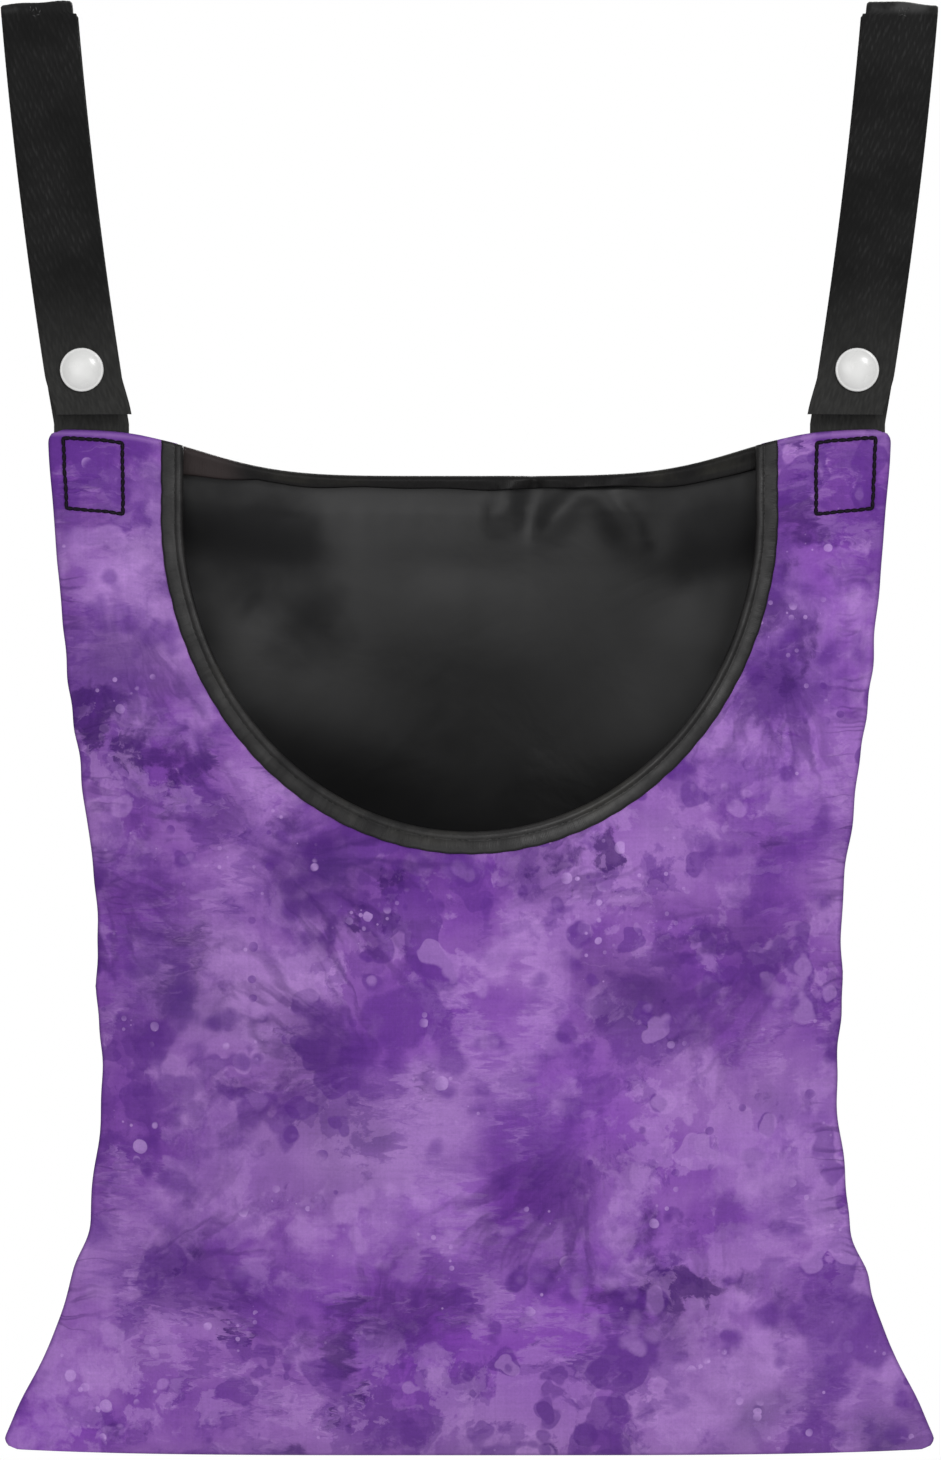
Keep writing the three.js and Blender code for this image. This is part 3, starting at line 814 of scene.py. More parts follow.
def cutMouth(sheet, inset):
    mesh = sheet.data
    centres = np.array([face.center for face in mesh.polygons])
    cut = insideMouth(centres[:, 0], -centres[:, 2], inset)
    mesh.vertices.foreach_set("select", np.zeros(len(mesh.vertices), dtype=bool))
    mesh.edges.foreach_set("select", np.zeros(len(mesh.edges), dtype=bool))
    mesh.polygons.foreach_set("select", cut)
    makeActive(sheet)
    bpy.ops.object.mode_set(mode="EDIT")
    bpy.ops.mesh.select_mode(type="FACE")
    bpy.ops.mesh.delete(type="FACE")
    bpy.ops.object.mode_set(mode="OBJECT")
    points = readPoints(sheet)
    edgeX, edgeDrop = mouthEdge(inset, np.linspace(0, 1, 900))
    reach = 1.2 * bagHeight / panelMesh["rows"]
    for i in boundaryPoints(mesh):
        gap = np.hypot(edgeX - points[i, 0], edgeDrop + points[i, 2])
        nearest = gap.argmin()
        if gap[nearest] < reach:
            points[i, 0], points[i, 2] = edgeX[nearest], -edgeDrop[nearest]
    writePoints(sheet, points)


# How the slack cloth behaves while it settles
clothRules = {
    "quality": 6, "mass": 0.12, "tension_stiffness": 18, "compression_stiffness": 18, "shear_stiffness": 6,
    "bending_stiffness": 1.2, "vertex_group_mass": "held", "pin_stiffness": 1, "use_pressure": True,
}
settleFrames = 18
settleGravity = 0.6


# Lets a lifted sheet settle as cloth: its sewn edges stay, the rest slackens by no more than cap
def settle(sheet, held, slack, pressure, cap):
    before = readPoints(sheet)
    group = sheet.vertex_groups.new(name="held")
    held = np.round(held, 2)
    for step in np.unique(held):
        if step > 0:
            group.add(np.flatnonzero(held == step).tolist(), float(step), "REPLACE")
    makeActive(sheet)
    bpy.ops.object.modifier_add(type="CLOTH")
    cloth = sheet.modifiers[-1]
    for key, value in clothRules.items():
        setattr(cloth.settings, key, value)
    cloth.settings.shrink_min = -slack
    cloth.settings.uniform_pressure_force = pressure
    cloth.settings.effector_weights.gravity = settleGravity
    cloth.collision_settings.use_collision = False
    cloth.point_cache.frame_start = 1
    cloth.point_cache.frame_end = settleFrames
    scene = bpy.context.scene
    for step in range(1, settleFrames + 1):
        scene.frame_set(step)
    makeActive(sheet)
    bpy.ops.object.modifier_apply(modifier=cloth.name)
    change = readPoints(sheet) - before
    length = np.linalg.norm(change, axis=1, keepdims=True)
    writePoints(sheet, before + change * cap / (cap + length))
    print(sheet.name, "settled, greatest move", round(float(length.max()) * 1000, 1), "mm before its cap")
    sheet.vertex_groups.clear()
    scene.frame_set(1)


def finishSheet(sheet, thick):
    applied(sheet, "SOLIDIFY", thickness=thick, offset=0, use_even_offset=False)
    smoothShaded(sheet)


# Box stitch that sews each strap tail in: corners on the right side, x and drop in mm
boxStitch = {
    "corners": [(135.3, 2.6), (115.6, 3.4), (115.2, 27.6), (134.2, 26.2)], "overlap": 0.16, "seed": 11,
    **lengths(
        length=2.5, thick=1.4, jitter=0.1, groove=0.5, grooveWidth=1.6, grooveStep=0.6,
        reachX=108, reachDrop=36,
    ),
}


def boxLine(side, spacing):
    corners = [(side * x * mm, drop * mm) for x, drop in boxStitch["corners"]]
    spots = []
    for (ax, ad), (bx, bd) in zip(corners, corners[1:] + corners[:1]):
        count = max(1, round(math.hypot(bx - ax, bd - ad) / spacing))
        spots += [(mixed(ax, bx, i / count), mixed(ad, bd, i / count)) for i in range(count)]
    return np.array(spots)


# The cloth is drawn in along the box stitch
def boxGroove(x, drop):
    line = np.vstack([boxLine(side, boxStitch["grooveStep"]) for side, word in sides])
    near = np.full(len(x), 1.0)
    corner = (np.abs(x) > boxStitch["reachX"]) & (drop < boxStitch["reachDrop"])
    awayX = x[corner][:, None] - line[:, 0]
    awayDrop = drop[corner][:, None] - line[:, 1]
    near[corner] = np.hypot(awayX, awayDrop).min(axis=1)
    return boxStitch["groove"] * bell(near, boxStitch["grooveWidth"])


# Short wrinkles run in from the side seams, where the thread draws the cloth up
gathers = lengths(height=0.5, pitch=9.4, reach=15, swing=13, swell=17, edge=3, foot=6, footFull=24)


def seamGathers(x, drop):
    side = np.sign(x)
    gap = outline(drop, side) - np.abs(x)
    along = (drop + 0.3 * gap) / gathers["pitch"] * 2 * math.pi
    ripple = np.sin(along + 1.9 * np.sin(drop / gathers["swing"] + side))
    ripple = ripple * (0.55 + 0.45 * np.sin(drop / gathers["swell"] + 2 * side))
    fade = bell(gap, gathers["reach"]) * smooth(gap, 0, gathers["edge"])
    fade = fade * smooth(drop, seam["start"], seam["full"])
    fade = fade * smooth(bagHeight - drop, gathers["foot"], gathers["footFull"])
    return gathers["height"] * ripple * fade


# Refines a panel and draws it in along its stitches and side seams
def drawnIn(sheet, way):
    applied(sheet, "SUBSURF", levels=1, render_levels=1)
    points = readPoints(sheet)
    x, drop = points[:, 0], bagTop - points[:, 2]
    points[:, 1] -= way * (boxGroove(x, drop) + seamGathers(x, drop))
    return points


# Front panel: printed cloth with the scooped mouth, and its lining
frontCloth = {
    **lengths(outwards=1.2, liningOutwards=0.3, mouthInset=5.2),
    "folds": [
        fold(-126, 34, -96, 150, 11, 2.0, bow=-4), fold(127, 36, 98, 138, 10, 1.8, bow=5),
        fold(-112, 30, -104, 92, 6, -1.2), fold(113, 31, 108, 80, 6, -1.2),
        fold(-124, 163, -84, 176, 5, -1.6, rise=0.05), fold(124, 165, 80, 174, 5, -1.6, rise=0.05),
        fold(-122, 216, -92, 214, 5, -1.4, rise=0.05), fold(122, 220, 96, 214, 5, -1.3, rise=0.05),
        fold(-128, 268, -82, 254, 6, -2.0, rise=0.05), fold(128, 269, 86, 252, 6, -2.0, rise=0.05),
        fold(-131, 112, -106, 120, 4, -1.0, rise=0.05), fold(131, 110, 104, 120, 4, -1.0, rise=0.05),
        fold(-60, 338, -48, 286, 9, 1.4), fold(40, 338, 30, 290, 10, 1.2),
        fold(112, 338, 92, 282, 9, 1.6), fold(-118, 338, -98, 280, 9, 1.6),
    ],
}


# Shares that the print reads: the seam's edge, darkened as painted shade; what the thread gathers, where
# thin dark lines are painted shade in its creases; and the rolled top, paled as a painted highlight; bands
# in mm
bands = {
    "edge": (0.2, 1.3), "gathered": (4, 17), "aboveFoot": (14, 40), "belowTop": (30, 50),
    "rollStart": (0, 0.7), "rollEnd": (1.0, 2.6),
}


def band(value, name):
    low, high = bands[name]
    return smooth(value, low * mm, high * mm)


def markFront(sheet, x, drop):
    sideGap = outline(drop, np.sign(x)) - np.abs(x)
    seamGap = np.minimum(sideGap, drop.max() - drop)
    # The seam's edge share places painted shade along the seams
    writeShare(sheet, "edge", 1 - band(seamGap, "edge"))
    # The gathered share places the painted crease shade
    gathered = (1 - band(sideGap, "gathered")) * band(bagHeight - drop, "aboveFoot")
    writeShare(sheet, "gathered", gathered * band(drop, "belowTop"))
    # The rolled top's share places a painted highlight on the print
    writeShare(sheet, "roll", band(drop, "rollStart") * (1 - band(drop, "rollEnd")))


def makeFront():
    sheet = flatPanel("frontCloth")
    cutMouth(sheet, frontCloth["mouthInset"])
    flat = readPoints(sheet)
    x, drop = flat[:, 0], -flat[:, 2]
    writePoints(sheet, bagPoint(x, drop, -1, frontCloth["outwards"], frontCloth["folds"]))
    markFront(sheet, x, drop)
    lining = sheet.copy()
    lining.data = sheet.data.copy()
    lining.name = lining.data.name = "frontLining"
    linked(lining)
    inner = bagPoint(x, drop, -1, frontCloth["liningOutwards"], frontCloth["folds"])
    inner[:, 1] += seamGathers(x, drop)
    writePoints(lining, inner)
    writePoints(sheet, drawnIn(sheet, -1))
    finishSheet(sheet, panelMesh["thick"])
    finishSheet(lining, panelMesh["liningThick"])
    return sheet, lining


# Folded rim of the back's free top edge
rimTape = {
    **lengths(
        width=8, bead=1.4, stand=1.2, middle=0.5, thick=0.5, leafMiddle=2.8, wedge=6.6, wedgeTip=-71,
        wedgeLength=26, rightLeaf=3.4, rightFrom=40, rightTo=96, wave=0.4, wavePitch=11, ripple=0.25,
        ripplePitch=4.7, sink=1.5, sinkReach=12, endBack=0.5, endFrom=12, endTo=4, groove=1.2, grooveEase=9,
        edgeEase=3, rearStand=-0.55, swellReach=3,
    ),
    "half": mouthHalf - 4 * mm, "columns": 220, "rows": 34, "fold": 0.42,
}


# How much of the folded rim shows inside: most beside the mouth's ends, least where it rolls back
def rimLeaf(x):
    left = np.clip((rimTape["wedgeTip"] - x) / rimTape["wedgeLength"], 0, 1) * rimTape["wedge"]
    right = smooth(x, rimTape["rightFrom"], rimTape["rightTo"]) * rimTape["rightLeaf"]
    wave = rimTape["wave"] * np.sin(x / rimTape["wavePitch"] + 1)
    ripple = rimTape["ripple"] * np.sin(x / rimTape["ripplePitch"])
    return rimTape["leafMiddle"] + left + right + wave + ripple


# Back panel: black satin, slack below its free top edge
backCloth = {
    **lengths(outwards=0.5, cap=4, heldBelow=7, sewnFrom=3, sewnTo=9), "slack": 0.014, "pressure": 0.35,
    "folds": [
        fold(22, 2, 18, 36, 2.6, 2.4, rise=0.05, fall=0.3),
        fold(38, 3, 19, 32, 4.4, -3.0, rise=0.1, fall=0.4),
        fold(13, 3, 5, 30, 4.2, -2.6, rise=0.1, fall=0.4), fold(44, 4, 62, 42, 7, -3.8, rise=0.1),
        fold(2, 24, 4, 150, 1.3, 0.45), fold(-104, 37, -46, 44, 16, 6.8, rise=0.1, fall=0.5),
        fold(-100, 84, -10, 118, 18, -3.0, bow=6), fold(106, 44, 60, 52, 14, 5.6, rise=0.1),
        fold(104, 78, 34, 124, 16, -2.8), fold(-36, 41, 44, 45, 12, 1.0), fold(-44, 68, 40, 74, 15, -1.2),
        fold(-72, 56, -46, 74, 8, 2.6, rise=0.1), fold(-70, 338, -52, 270, 11, 2.0),
        fold(20, 338, 14, 276, 12, 1.8), fold(104, 338, 84, 264, 11, 2.2),
        fold(-124, 163, -80, 180, 6, -2, rise=0.05), fold(124, 168, 84, 180, 6, -2, rise=0.05),
        fold(-128, 268, -86, 250, 6, -2, rise=0.05), fold(128, 268, 90, 246, 6, -2, rise=0.05),
    ],
}


# The back is drawn in by the seam under the rim's free edge, and eases out again below it
def rimGroove(x, level):
    below = sagged(x, rimLeaf(x) + rimTape["sink"])
    near = 1 - smooth(np.abs(x), rimTape["half"] - rimTape["edgeEase"], rimTape["half"])
    return rimTape["groove"] * near * (1 - smooth(level - below, 0, rimTape["grooveEase"]))


# 1 where the back is sewn or bound, 0 where it hangs free
def sewnEdges(x, drop):
    gap = np.minimum(outline(drop, np.sign(x)) - np.abs(x), bagHeight - drop)
    gap = np.minimum(gap, drop - backCloth["heldBelow"])
    return 1 - smooth(gap, backCloth["sewnFrom"], backCloth["sewnTo"])


def makeBack():
    sheet = flatPanel("backCloth")
    flat = readPoints(sheet)
    x, drop = flat[:, 0], -flat[:, 2]
    underRim = 1 - smooth(np.abs(x), rimTape["half"], rimTape["half"] + rimTape["edgeEase"])
    drop = drop + rimTape["sink"] * underRim * (1 - smooth(drop, 0, rimTape["sinkReach"]))
    writePoints(sheet, bagPoint(x, drop, 1, backCloth["outwards"], backCloth["folds"]))
    edited(sheet, bpy.ops.mesh.flip_normals)
    settle(sheet, sewnEdges(x, drop), backCloth["slack"], backCloth["pressure"], backCloth["cap"])
    points = drawnIn(sheet, 1)
    points[:, 1] += rimGroove(points[:, 0], bagTop - points[:, 2])
    writePoints(sheet, points)
    finishSheet(sheet, panelMesh["thick"])
    return sheet


frontPiece, liningPiece = makeFront()
backPiece = makeBack()
dress(frontPiece, printedCloth, "bag", ["front_panel"])
dress(liningPiece, liningSatin, "bag", ["front_lining"])
dress(backPiece, backSatin, "bag", ["back_panel"])
print("panels made")


# Folded tape of the mouth
mouthTape = {
    **lengths(
        width=7, bead=1.6, leafStand=1.25, middle=0.8, thick=0.5, lip=4.5, roll=0.22, groove=0.16,
        grooveWidth=0.5, stitchReach=4.45, stitchLength=2.4, stitchThick=0.42, stitchSink=0.1,
        ripple=0.16, ripplePitch=7.5,
    ),
    "stations": 300,
}


# Rows of the tape: reach from the free edge of its front leaf, and offset outwards
def tapeProfile():
    bead, leafStand, lip = mouthTape["bead"], mouthTape["leafStand"], mouthTape["lip"]
    bend = mouthTape["width"] - bead
    rows = [(0.0, leafStand * 0.3), (0.1 * mm, leafStand * 0.75)]
    for reach in np.linspace(0.4 * mm, bend, 15):
        outerRoll = mouthTape["roll"] * math.sin(math.pi * min(reach / lip, 1))
        groove = mouthTape["groove"] * bell(reach - lip, mouthTape["grooveWidth"])
        swell = (bead - leafStand) * float(smooth(reach, lip, lip + 0.45 * (bend - lip)))
        rows.append((reach, leafStand * 0.9 + outerRoll - groove + swell))
    for angle in np.linspace(math.pi / 2, -math.pi / 2, 15)[1:-1]:
        rows.append((bend + bead * math.cos(angle), bead * math.sin(angle)))
    for reach in np.linspace(bend, 0, 8):
        rows.append((reach, -leafStand - float((bead - leafStand) * smooth(reach, bend * 0.45, bend))))
    return np.array(rows)


def onMouth(share, reach, offset):
    x, drop = mouthEdge(reach, share)
    return bagPoint(x, drop, -1, mouthTape["middle"] + offset, pinched=False)


def mouthLength():
    path = onMouth(np.linspace(0, 1, 400), np.full(400, mouthTape["width"] / 2), np.zeros(400))
    return float(stepLengths(path).sum())


def makeMouthTape():
    profile = tapeProfile()
    sheet = gridSheet("mouthBinding", mouthTape["stations"], len(profile) - 1)
    points = readPoints(sheet)
    share = points[:, 0] + 0.5
    row = np.round((points[:, 1] + 0.5) * (len(profile) - 1)).astype(int)
    reach, offset = profile[row, 0], profile[row, 1]
    along = share * mouthLength() / mouthTape["ripplePitch"] * 2 * math.pi
    wave = np.sin(along) + 0.6 * np.sin(along * 0.43 + 1)
    reach = np.clip(reach + mouthTape["ripple"] * wave * 0.6 * (reach < mm), 0, None)
    offset = offset + mouthTape["ripple"] * np.sin(along * 0.61 + 2) * np.sign(offset) * 0.7
    writePoints(sheet, onMouth(share, reach, offset))
    writeMap(sheet, share * mouthLength() / mm, runLengths(profile)[row] / mm)
    finishSheet(sheet, mouthTape["thick"])
    return sheet


# A point of the rim: share runs from the front leaf's free edge over the fold to the rear leaf's
def onRim(x, share):
    bend = rimTape["fold"]
    turn = np.clip((share - bend) / (1 - 2 * bend), 0, 1) * math.pi
    behind = rimTape["width"] * np.clip((share - 1 + bend) / bend, 0, 1)
    down = np.where(share < bend, rimLeaf(x) * (1 - share / bend), behind)
    swell = mixed(rimTape["stand"], rimTape["bead"], 1 - smooth(down, 0, rimTape["swellReach"]))
    tuck = smooth(share, 0, 0.04)
    offset = -swell * np.cos(turn) * mixed(0.75, 1, tuck)
    offset = offset + (rimTape["groove"] + rimTape["rearStand"]) * smooth(share, bend, 1 - bend)
    end = smooth(np.abs(x), rimTape["half"] - rimTape["endFrom"], rimTape["half"] - rimTape["endTo"])
    offset = offset + rimTape["endBack"] * end
    drop = np.maximum(down, 0) + rimTape["sink"]
    points = bagPoint(x, drop, 1, rimTape["middle"] + offset, backCloth["folds"], pinched=False)
    points[:, 2] += rimTape["bead"] * np.sin(turn)
    return points


def makeRimTape():
    sheet = gridSheet("rimBinding", rimTape["columns"], rimTape["rows"])
    points = readPoints(sheet)
    x = points[:, 0] * 2 * rimTape["half"]
    share = points[:, 1] + 0.5
    writePoints(sheet, onRim(x, share))
    writeMap(sheet, x / mm, share * 2 * rimTape["width"] / mm)
    finishSheet(sheet, rimTape["thick"])
    return sheet


mouthPiece = makeMouthTape()
rimPiece = makeRimTape()
dress(mouthPiece, bindingTape, "bag", ["mouth_binding"])
dress(rimPiece, rimBand, "bag", ["rim_binding"])
tapeSlack = 2 * mm
mouthFlat = (2 * mouthTape["width"] + tapeSlack, mouthLength())
print("bindings made")


# Stitches: one stitch is shaped from a sphere, then repeated along a seam
def stitchShape(thick):
    deselectAll()
    bpy.ops.mesh.primitive_uv_sphere_add(segments=8, ring_count=6, radius=0.5)
    bpy.ops.object.mode_set(mode="EDIT")
    bpy.ops.transform.rotate(value=math.pi / 2, orient_axis="Y", center_override=(0, 0, 0))
    bpy.ops.transform.resize(value=(1, thick, thick * 0.8))
    bpy.ops.object.mode_set(mode="OBJECT")
    seed = bpy.context.object
    points = readPoints(seed)
    mesh = seed.data
    faces = [tuple(face.vertices) for face in mesh.polygons]
    bpy.data.objects.remove(seed)
    bpy.data.meshes.remove(mesh)
    return points, faces


def stitchRow(name, starts, ends, normals, thick, sink=0.15):
    points, faces = stitchShape(thick)
    allPoints, allFaces = [], []
    for start, end, normal in zip(starts, ends, normals):
        along = end - start
        length = np.linalg.norm(along)
        along = along / length
        across = np.cross(normal, along)
        across = across / np.linalg.norm(across)
        upright = np.cross(along, across)
        centre = (start + end) / 2 + upright * thick * sink
        first = len(allPoints) * len(points)
        allPoints.append(centre + points @ np.array([along * length, across, upright]))
        allFaces += [tuple(first + i for i in face) for face in faces]
    mesh = bpy.data.meshes.new(name)
    mesh.from_pydata(np.vstack(allPoints).tolist(), [], allFaces)
    row = linked(bpy.data.objects.new(name, mesh))
    smoothShaded(row)
    return row


def surfaceNormals(place, a, b, step=0.5 * mm):
    alongA = place(a + step, b) - place(a - step, b)
    alongB = place(a, b + step) - place(a, b - step)
    normals = np.cross(alongA, alongB)
    return normals / np.linalg.norm(normals, axis=1, keepdims=True)


def boxStitches(side, way, name):
    spots = boxLine(side, boxStitch["length"])
    jitter = np.random.default_rng(boxStitch["seed"] + side)
    x = spots[:, 0] + jitter.normal(0, boxStitch["jitter"], len(spots))
    drop = spots[:, 1] + jitter.normal(0, boxStitch["jitter"], len(spots))
    cloth = frontCloth if way < 0 else backCloth
    stand = cloth["outwards"] + panelMesh["thick"] / 2 - boxStitch["groove"]

    def place(a, b):
        return bagPoint(a, b, way, stand)

    starts = place(x, drop)
    ends = np.roll(starts, -1, axis=0)
    share = boxStitch["overlap"]
    normals = surfaceNormals(place, x, drop)
    normals = normals * np.where(normals[:, 1] * way < 0, -1, 1)[:, None]
    first, last = mixed(starts, ends, -share), mixed(starts, ends, 1 + share)
    return stitchRow(name, first, last, normals, boxStitch["thick"])


def mouthStitches():
    count = round(mouthLength() / mouthTape["stitchLength"])
    share = np.linspace(0.004, 0.996, count + 1)
    stand = mouthTape["leafStand"] - mouthTape["stitchSink"]
    reach = np.full(len(share), mouthTape["stitchReach"])
    spots = onMouth(share, reach, reach * 0 + stand)
    normals = onMouth(share, reach, reach * 0 + stand + mm) - spots
    starts, ends = mixed(spots[:-1], spots[1:], 0.1), mixed(spots[:-1], spots[1:], 0.9)
    return stitchRow("mouthStitches", starts, ends, normals[:-1], mouthTape["stitchThick"])


for side, word in sides:
    for way, face in ((-1, "Front"), (1, "Back")):
        dress(boxStitches(side, way, word + "BoxStitch" + face), blackThread, "bag")
dress(mouthStitches(), seamThread, "bag")
print("stitches made")


# Webbing straps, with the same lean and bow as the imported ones
webbing = {
    **lengths(
        spread=17.2, bow=5.6, drift=1.6, foldRadius=2.5, straightAbove=14.5, easeBelow=6, rowStep=0.55,
        ribPitch=1.65, rib=0.07, twill=2.1, crestFrom=-3.9, crestTo=-2.5, crestNarrow=1.5, crestWave=0.22,
        crestPitch=2.6, crestDrop=0.9, tangentStep=0.2, blendRoom=0.2, swingBand=2,
    ),
    "columns": 34, "selvedge": 0.55,
}
flapTopY = flapLow.y + webbingThick / 2
flapSnapY = flapHigh.y - webbingThick / 2


def strapCentre(z):
    share = np.clip((z - swingZ) / -swingZ, 0, None)
    return strapFoot + webbing["spread"] * share + webbing["bow"] * share * (1 - share)


def strapLean(z):
    share = np.clip((z - swingZ) / -swingZ, 0, None)
    slope = (webbing["spread"] + webbing["bow"] * (1 - 2 * share)) / -swingZ
    return np.arctan(slope) * smooth(z, swingZ, swingZ + strapWidth)


# Middle line of the webbing as y and z, from the snap up the back ply, over the line and down
def upperPath():
    bend = webbing["foldRadius"] + webbingThick / 2
    foldY = seamY - bend
    foldZ = -webbing["foldRadius"]
    rise = np.linspace(snapZ, foldZ, 60)
    path = [np.column_stack([rise * 0 + seamY, rise])]
    for centre, start in ((foldY, 0), (-foldY, math.pi / 2)):
        turn = np.linspace(start, start + math.pi / 2, 14)
        path.append(np.column_stack([centre + bend * np.cos(turn), foldZ + bend * np.sin(turn)]))
    fall = np.linspace(foldZ, flapLow.z, 70)
    settled = smooth(fall, snapZ + webbing["straightAbove"], foldZ - webbing["easeBelow"])
    path.append(np.column_stack([mixed(flapSnapY, flapTopY, settled), fall]))
    return np.vstack(path)


def lowerPath():
    rise = np.linspace(tailLow.z, snapZ, 60)
    return np.column_stack([rise * 0 + seamY, rise])


def makeWebbing(name, side, path, drifts):
    path = path[np.concatenate([[True], stepLengths(path) > 1e-7])]
    length = runLengths(path)
    sheet = gridSheet(name, webbing["columns"], round(length[-1] / webbing["rowStep"]))
    points = readPoints(sheet)
    across = points[:, 0] * strapWidth
    along = (points[:, 1] + 0.5) * length[-1]

    def onPath(distance):
        return np.column_stack([np.interp(distance, length, path[:, i]) for i in (0, 1)])

    y, z = onPath(along).T
    tangent = onPath(along + webbing["tangentStep"]) - onPath(along - webbing["tangentStep"])
    tangent = tangent / np.linalg.norm(tangent, axis=1, keepdims=True)
    twill = np.abs(across) / webbing["twill"]
    rib = webbing["rib"] * np.sin(2 * math.pi * (along / webbing["ribPitch"] + twill))
    y = y + tangent[:, 1] * rib
    z = z - tangent[:, 0] * rib
    crest = smooth(z, webbing["crestFrom"], webbing["crestTo"]) if drifts else 0 * z
    inner = np.clip(-across / (strapWidth / 2), 0, 1)
    across = across + webbing["crestNarrow"] * crest * inner
    lean = strapLean(z)
    drift = webbing["drift"] * (1 - smooth(z, flapLow.z, snapZ)) * (y < 0) if drifts else 0
    x = strapCentre(z) - drift + across * np.cos(lean)
    wave = webbing["crestWave"] * np.sin(across / webbing["crestPitch"] + side)
    wave = (wave - webbing["crestDrop"] * inner ** 3) * crest
    z = z - across * np.sin(lean) + wave
    writePoints(sheet, np.column_stack([side * x, y, z]))
    writeMap(sheet, points[:, 0] * strapWidth / mm, along / mm)
    group = sheet.vertex_groups.new(name="body")
    edge = np.abs(points[:, 0]) > 0.5 - 0.5 / webbing["columns"]
    group.add(np.flatnonzero(~edge).tolist(), 1.0, "REPLACE")
    group.add(np.flatnonzero(edge).tolist(), 0.0, "REPLACE")
    applied(sheet, "SOLIDIFY", thickness=webbingThick, offset=0, vertex_group="body",
            thickness_vertex_group=webbing["selvedge"])
    sheet.vertex_groups.clear()
    edited(sheet, bpy.ops.mesh.normals_make_consistent, inside=False)
    smoothShaded(sheet, 50)
    layer = sheet.data.attributes.new("rest", "FLOAT_VECTOR", "POINT")
    layer.data.foreach_set("vector", readPoints(sheet).astype(np.float32).ravel())
    return sheet


for side, word in sides:
    upper = makeWebbing(word + "StrapLoop", side, upperPath(), True)
    dress(upper, blackWebbing, replaces=[word + "_strap", word + "_strap_flap"])
    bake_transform(upper)
    lower = makeWebbing(word + "StrapTail", side, lowerPath(), False)
    dress(lower, blackWebbing, replaces=[word + "_strap_tail"])
    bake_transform(lower)
print("straps made")


# A loose tack of thread just under the fold of each strap: place across and height in mm, lean and length
tack = {
    "threads": [
        (-1.6, -1.9, 0.5, 1.5), (-0.4, -1.2, -0.3, 1.7), (0.7, -1.6, 0.6, 1.4),
        (1.6, -1.0, 0.1, 1.6), (-0.9, -3.1, 1.3, 1.2), (0.4, -3.4, -1.2, 1.1),
    ],
    **lengths(aside=1.2, thick=0.3, level=-2.5),
}


def tackThreads(side, name):
    middle = strapCentre(np.array(tack["level"])) + tack["aside"]
    front = flapTopY - webbingThick / 2
    starts, ends = [], []
    for across, z, lean, length in tack["threads"]:
        x = side * (middle + across * mm)
        for spots, way in ((starts, -1), (ends, 1)):
            reach = way * length * mm / 2
            spots.append([x + math.sin(lean) * reach, front, z * mm + math.cos(lean) * reach])
    facing = np.tile([0.0, -1.0, 0.0], (len(starts), 1))
    return stitchRow(name, np.array(starts), np.array(ends), facing, tack["thick"])


for side, word in sides:
    dress(tackThreads(side, word + "CrownTack"), tackThread, word + "_flap")
print("tacks made")


# Press snaps: each piece is drawn up ring by ring from a disc; rings are radius and height in mm
snap = {
    "sides": 64, "seat": 0.05 * mm, "smoothBelow": 42,
    "cap": [(6.8, 0.0), (7.1, 0.1), (7.25, 0.35), (7.25, 0.75), (7.12, 1.0), (6.85, 1.12), (6.6, 1.12),
            (6.45, 1.2), (6.1, 1.5), (5.5, 1.88), (4.7, 2.25), (3.7, 2.58), (2.6, 2.82), (1.5, 2.95),
            (0.7, 2.99), (0.2, 3.0)],
    "socket": [(6.0, 0.0), (6.3, 0.15), (6.3, 0.85), (6.1, 1.0), (5.5, 1.05), (5.35, 1.2), (5.35, 3.0),
               (5.2, 3.2), (3.4, 3.2), (3.2, 3.05), (3.2, 2.6), (3.5, 2.5), (3.5, 1.1), (0.3, 1.1)],
    "stud": [(6.0, 0.0), (6.3, 0.15), (6.3, 0.85), (6.1, 1.0), (2.8, 1.0), (2.6, 1.15), (2.6, 1.85),
             (2.85, 2.15), (2.9, 2.5), (2.7, 2.8), (2.3, 2.9), (1.6, 2.9), (1.45, 2.75), (0.3, 2.75)],
}


def turnedPiece(name, rings, centre, facing):
    deselectAll()
    bpy.ops.mesh.primitive_circle_add(vertices=snap["sides"], radius=rings[0][0] * mm, fill_type="NGON",
                                      location=(0, 0, 0))
    piece = bpy.context.object
    piece.name = piece.data.name = name
    bpy.ops.object.mode_set(mode="EDIT")
    bpy.ops.mesh.select_all(action="SELECT")
    for (radius, height), (nextRadius, nextHeight) in zip(rings, rings[1:]):
        lift = (0, 0, (nextHeight - height) * mm)
        bpy.ops.mesh.extrude_region_move(TRANSFORM_OT_translate={"value": lift})
        grow = nextRadius / radius
        bpy.ops.transform.resize(value=(grow, grow, 1))
    bpy.ops.mesh.select_all(action="SELECT")
    bpy.ops.mesh.remove_doubles(threshold=1e-6)
    bpy.ops.mesh.normals_make_consistent(inside=False)
    bpy.ops.object.mode_set(mode="OBJECT")
    piece.location = centre
    piece.rotation_euler = (math.pi / 2 * -facing, 0, 0)
    bpy.ops.object.transform_apply(location=True, rotation=True, scale=True)
    smoothShaded(piece, snap["smoothBelow"])
    return piece


stackHalf = webbingThick / 2 + snap["seat"]
for side, word in sides:
    middle = side * float(strapCentre(np.array(snapZ)))
    for part, rings, y, facing, body, node in (
        ("SnapCap", "cap", flapSnapY - stackHalf, -1, word + "_flap", "_snap_cap"),
        ("SnapSocket", "socket", flapSnapY + stackHalf, 1, word + "_flap", "_snap_socket"),
        ("SnapStud", "stud", seamY - stackHalf, -1, "straps", "_snap_stud"),
        ("SnapRearCap", "cap", seamY + stackHalf, 1, "straps", "_snap_rear_cap"),
    ):
        piece = turnedPiece(word + part, snap[rings], (middle, y, snapZ), facing)
        dress(piece, snapPlastic, body, [word + node])
print("snaps made")


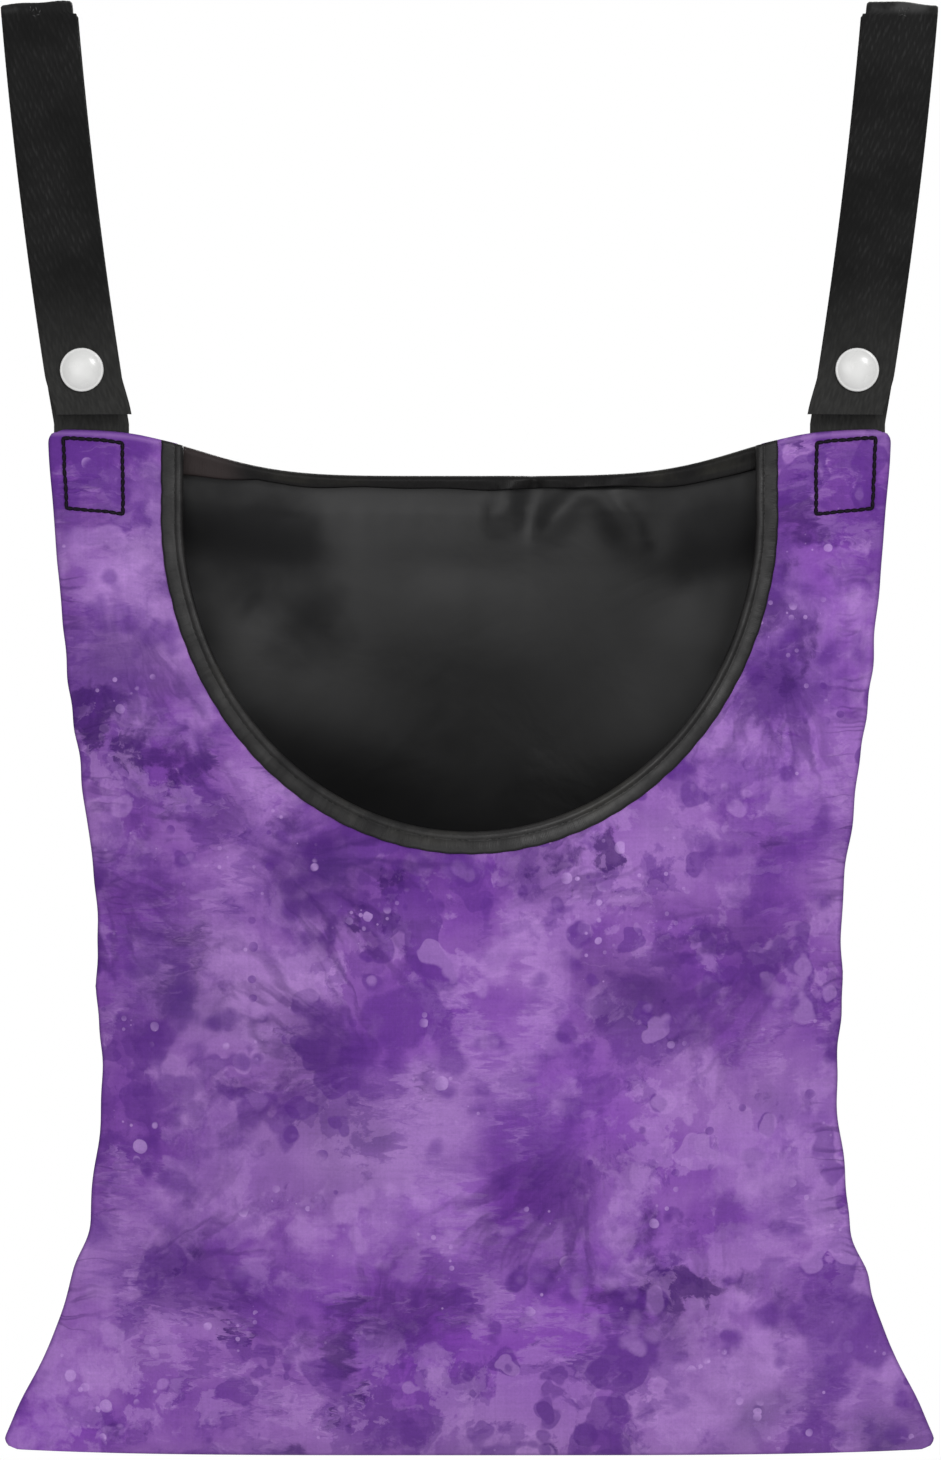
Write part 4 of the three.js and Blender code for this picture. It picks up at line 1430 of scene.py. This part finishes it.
# Floor, light and camera, in metres; lights are place, size and power
studio = {
    "floorDrop": 1.6, "floorRadius": 5.6, "fadeFrom": 0.25, "fadeTo": 0.92,
    "ambient": 0.24, "fromAbove": 0.5, "fromFront": 1.5, "aim": (0, 0, -0.25),
    "lights": {
        "keyLight": ((1.0, -1.7, 0.9), 0.7, 17),
        "fillLight": ((-0.9, -2.1, 0.2), 1.6, 9),
        "backLight": ((0.6, 1.6, 0.7), 0.9, 30),
    },
    "frameHeight": 486.7 * mm, "frameCentre": (0.33 * mm, -240.5 * mm), "distance": 2.4, "sensor": 36.0,
}


# The floor runs out into the white of the studio
def floorFinish():
    finish, shader = newFinish("paleFloor", 0.8, 0.1)
    place = objectMap()
    feed(shader, blended(noise(place, 3, 3), linear(244, 244, 244), linear(248, 248, 248)))
    far = put("VectorMath", {0: moved(place, scale=(1, 1, 0))}, operation="LENGTH").outputs["Value"]
    glow = put("Emission", {"Color": (1, 1, 1, 1), "Strength": 1.0})
    radius = studio["floorRadius"]
    share = remap(far, radius * studio["fadeFrom"], radius * studio["fadeTo"])
    both = put("MixShader", {0: share, 1: shader.outputs[0], 2: glow.outputs[0]})
    tree.links.new(both.outputs[0], tree.nodes["Material Output"].inputs["Surface"])
    return finish


deselectAll()
bpy.ops.mesh.primitive_circle_add(vertices=96, radius=studio["floorRadius"], fill_type="NGON",
                                  location=(0, 0, frontLow.z - studio["floorDrop"]))
floor = bpy.context.object
floor.name = floor.data.name = "floor"
bpy.ops.object.transform_apply(location=True, rotation=True, scale=True)
floor.data.materials.append(floorFinish())

# The room is white to look at, and lights the bag mostly from above and from the front
scene = bpy.context.scene
scene.view_settings.view_transform = "Standard"
scene.world = bpy.data.worlds.new("studio")
scene.world.use_nodes = True
tree = scene.world.node_tree
sky = tree.nodes["Background"]
_, forwards, upwards = parts(put("TexCoord").outputs["Generated"])
above = remap(upwards, -0.3, 0.9, 0.0, studio["fromAbove"])
front = remap(forwards, -1.0, -0.8, studio["fromFront"], 0.0)
strength = plus(plus(above, front), studio["ambient"])
seen = put("LightPath").outputs["Is Camera Ray"]
shown = put("Mix", {0: seen, 2: strength, 3: 1.0}, data_type="FLOAT").outputs[0]
sky.inputs["Color"].default_value = (1, 1, 1, 1)
tree.links.new(shown, sky.inputs["Strength"])

for name, (place, size, power) in studio["lights"].items():
    lamp = bpy.data.lights.new(name, "AREA")
    lamp.shape = "DISK"
    lamp.size = size
    lamp.energy = power
    light = linked(bpy.data.objects.new(name, lamp))
    light.location = place
    light.rotation_euler = (Vector(studio["aim"]) - Vector(place)).to_track_quat("-Z", "Y").to_euler()
    light.visible_camera = False

camera = bpy.data.cameras.new("camera")
camera.sensor_width = studio["sensor"]
camera.lens = studio["sensor"] * studio["distance"] / studio["frameHeight"]
cameraObject = linked(bpy.data.objects.new("camera", camera))
cameraObject.location = (studio["frameCentre"][0], seamY - studio["distance"], studio["frameCentre"][1])
cameraObject.rotation_euler = (math.pi / 2, 0, 0)
scene.camera = cameraObject
print("studio made")
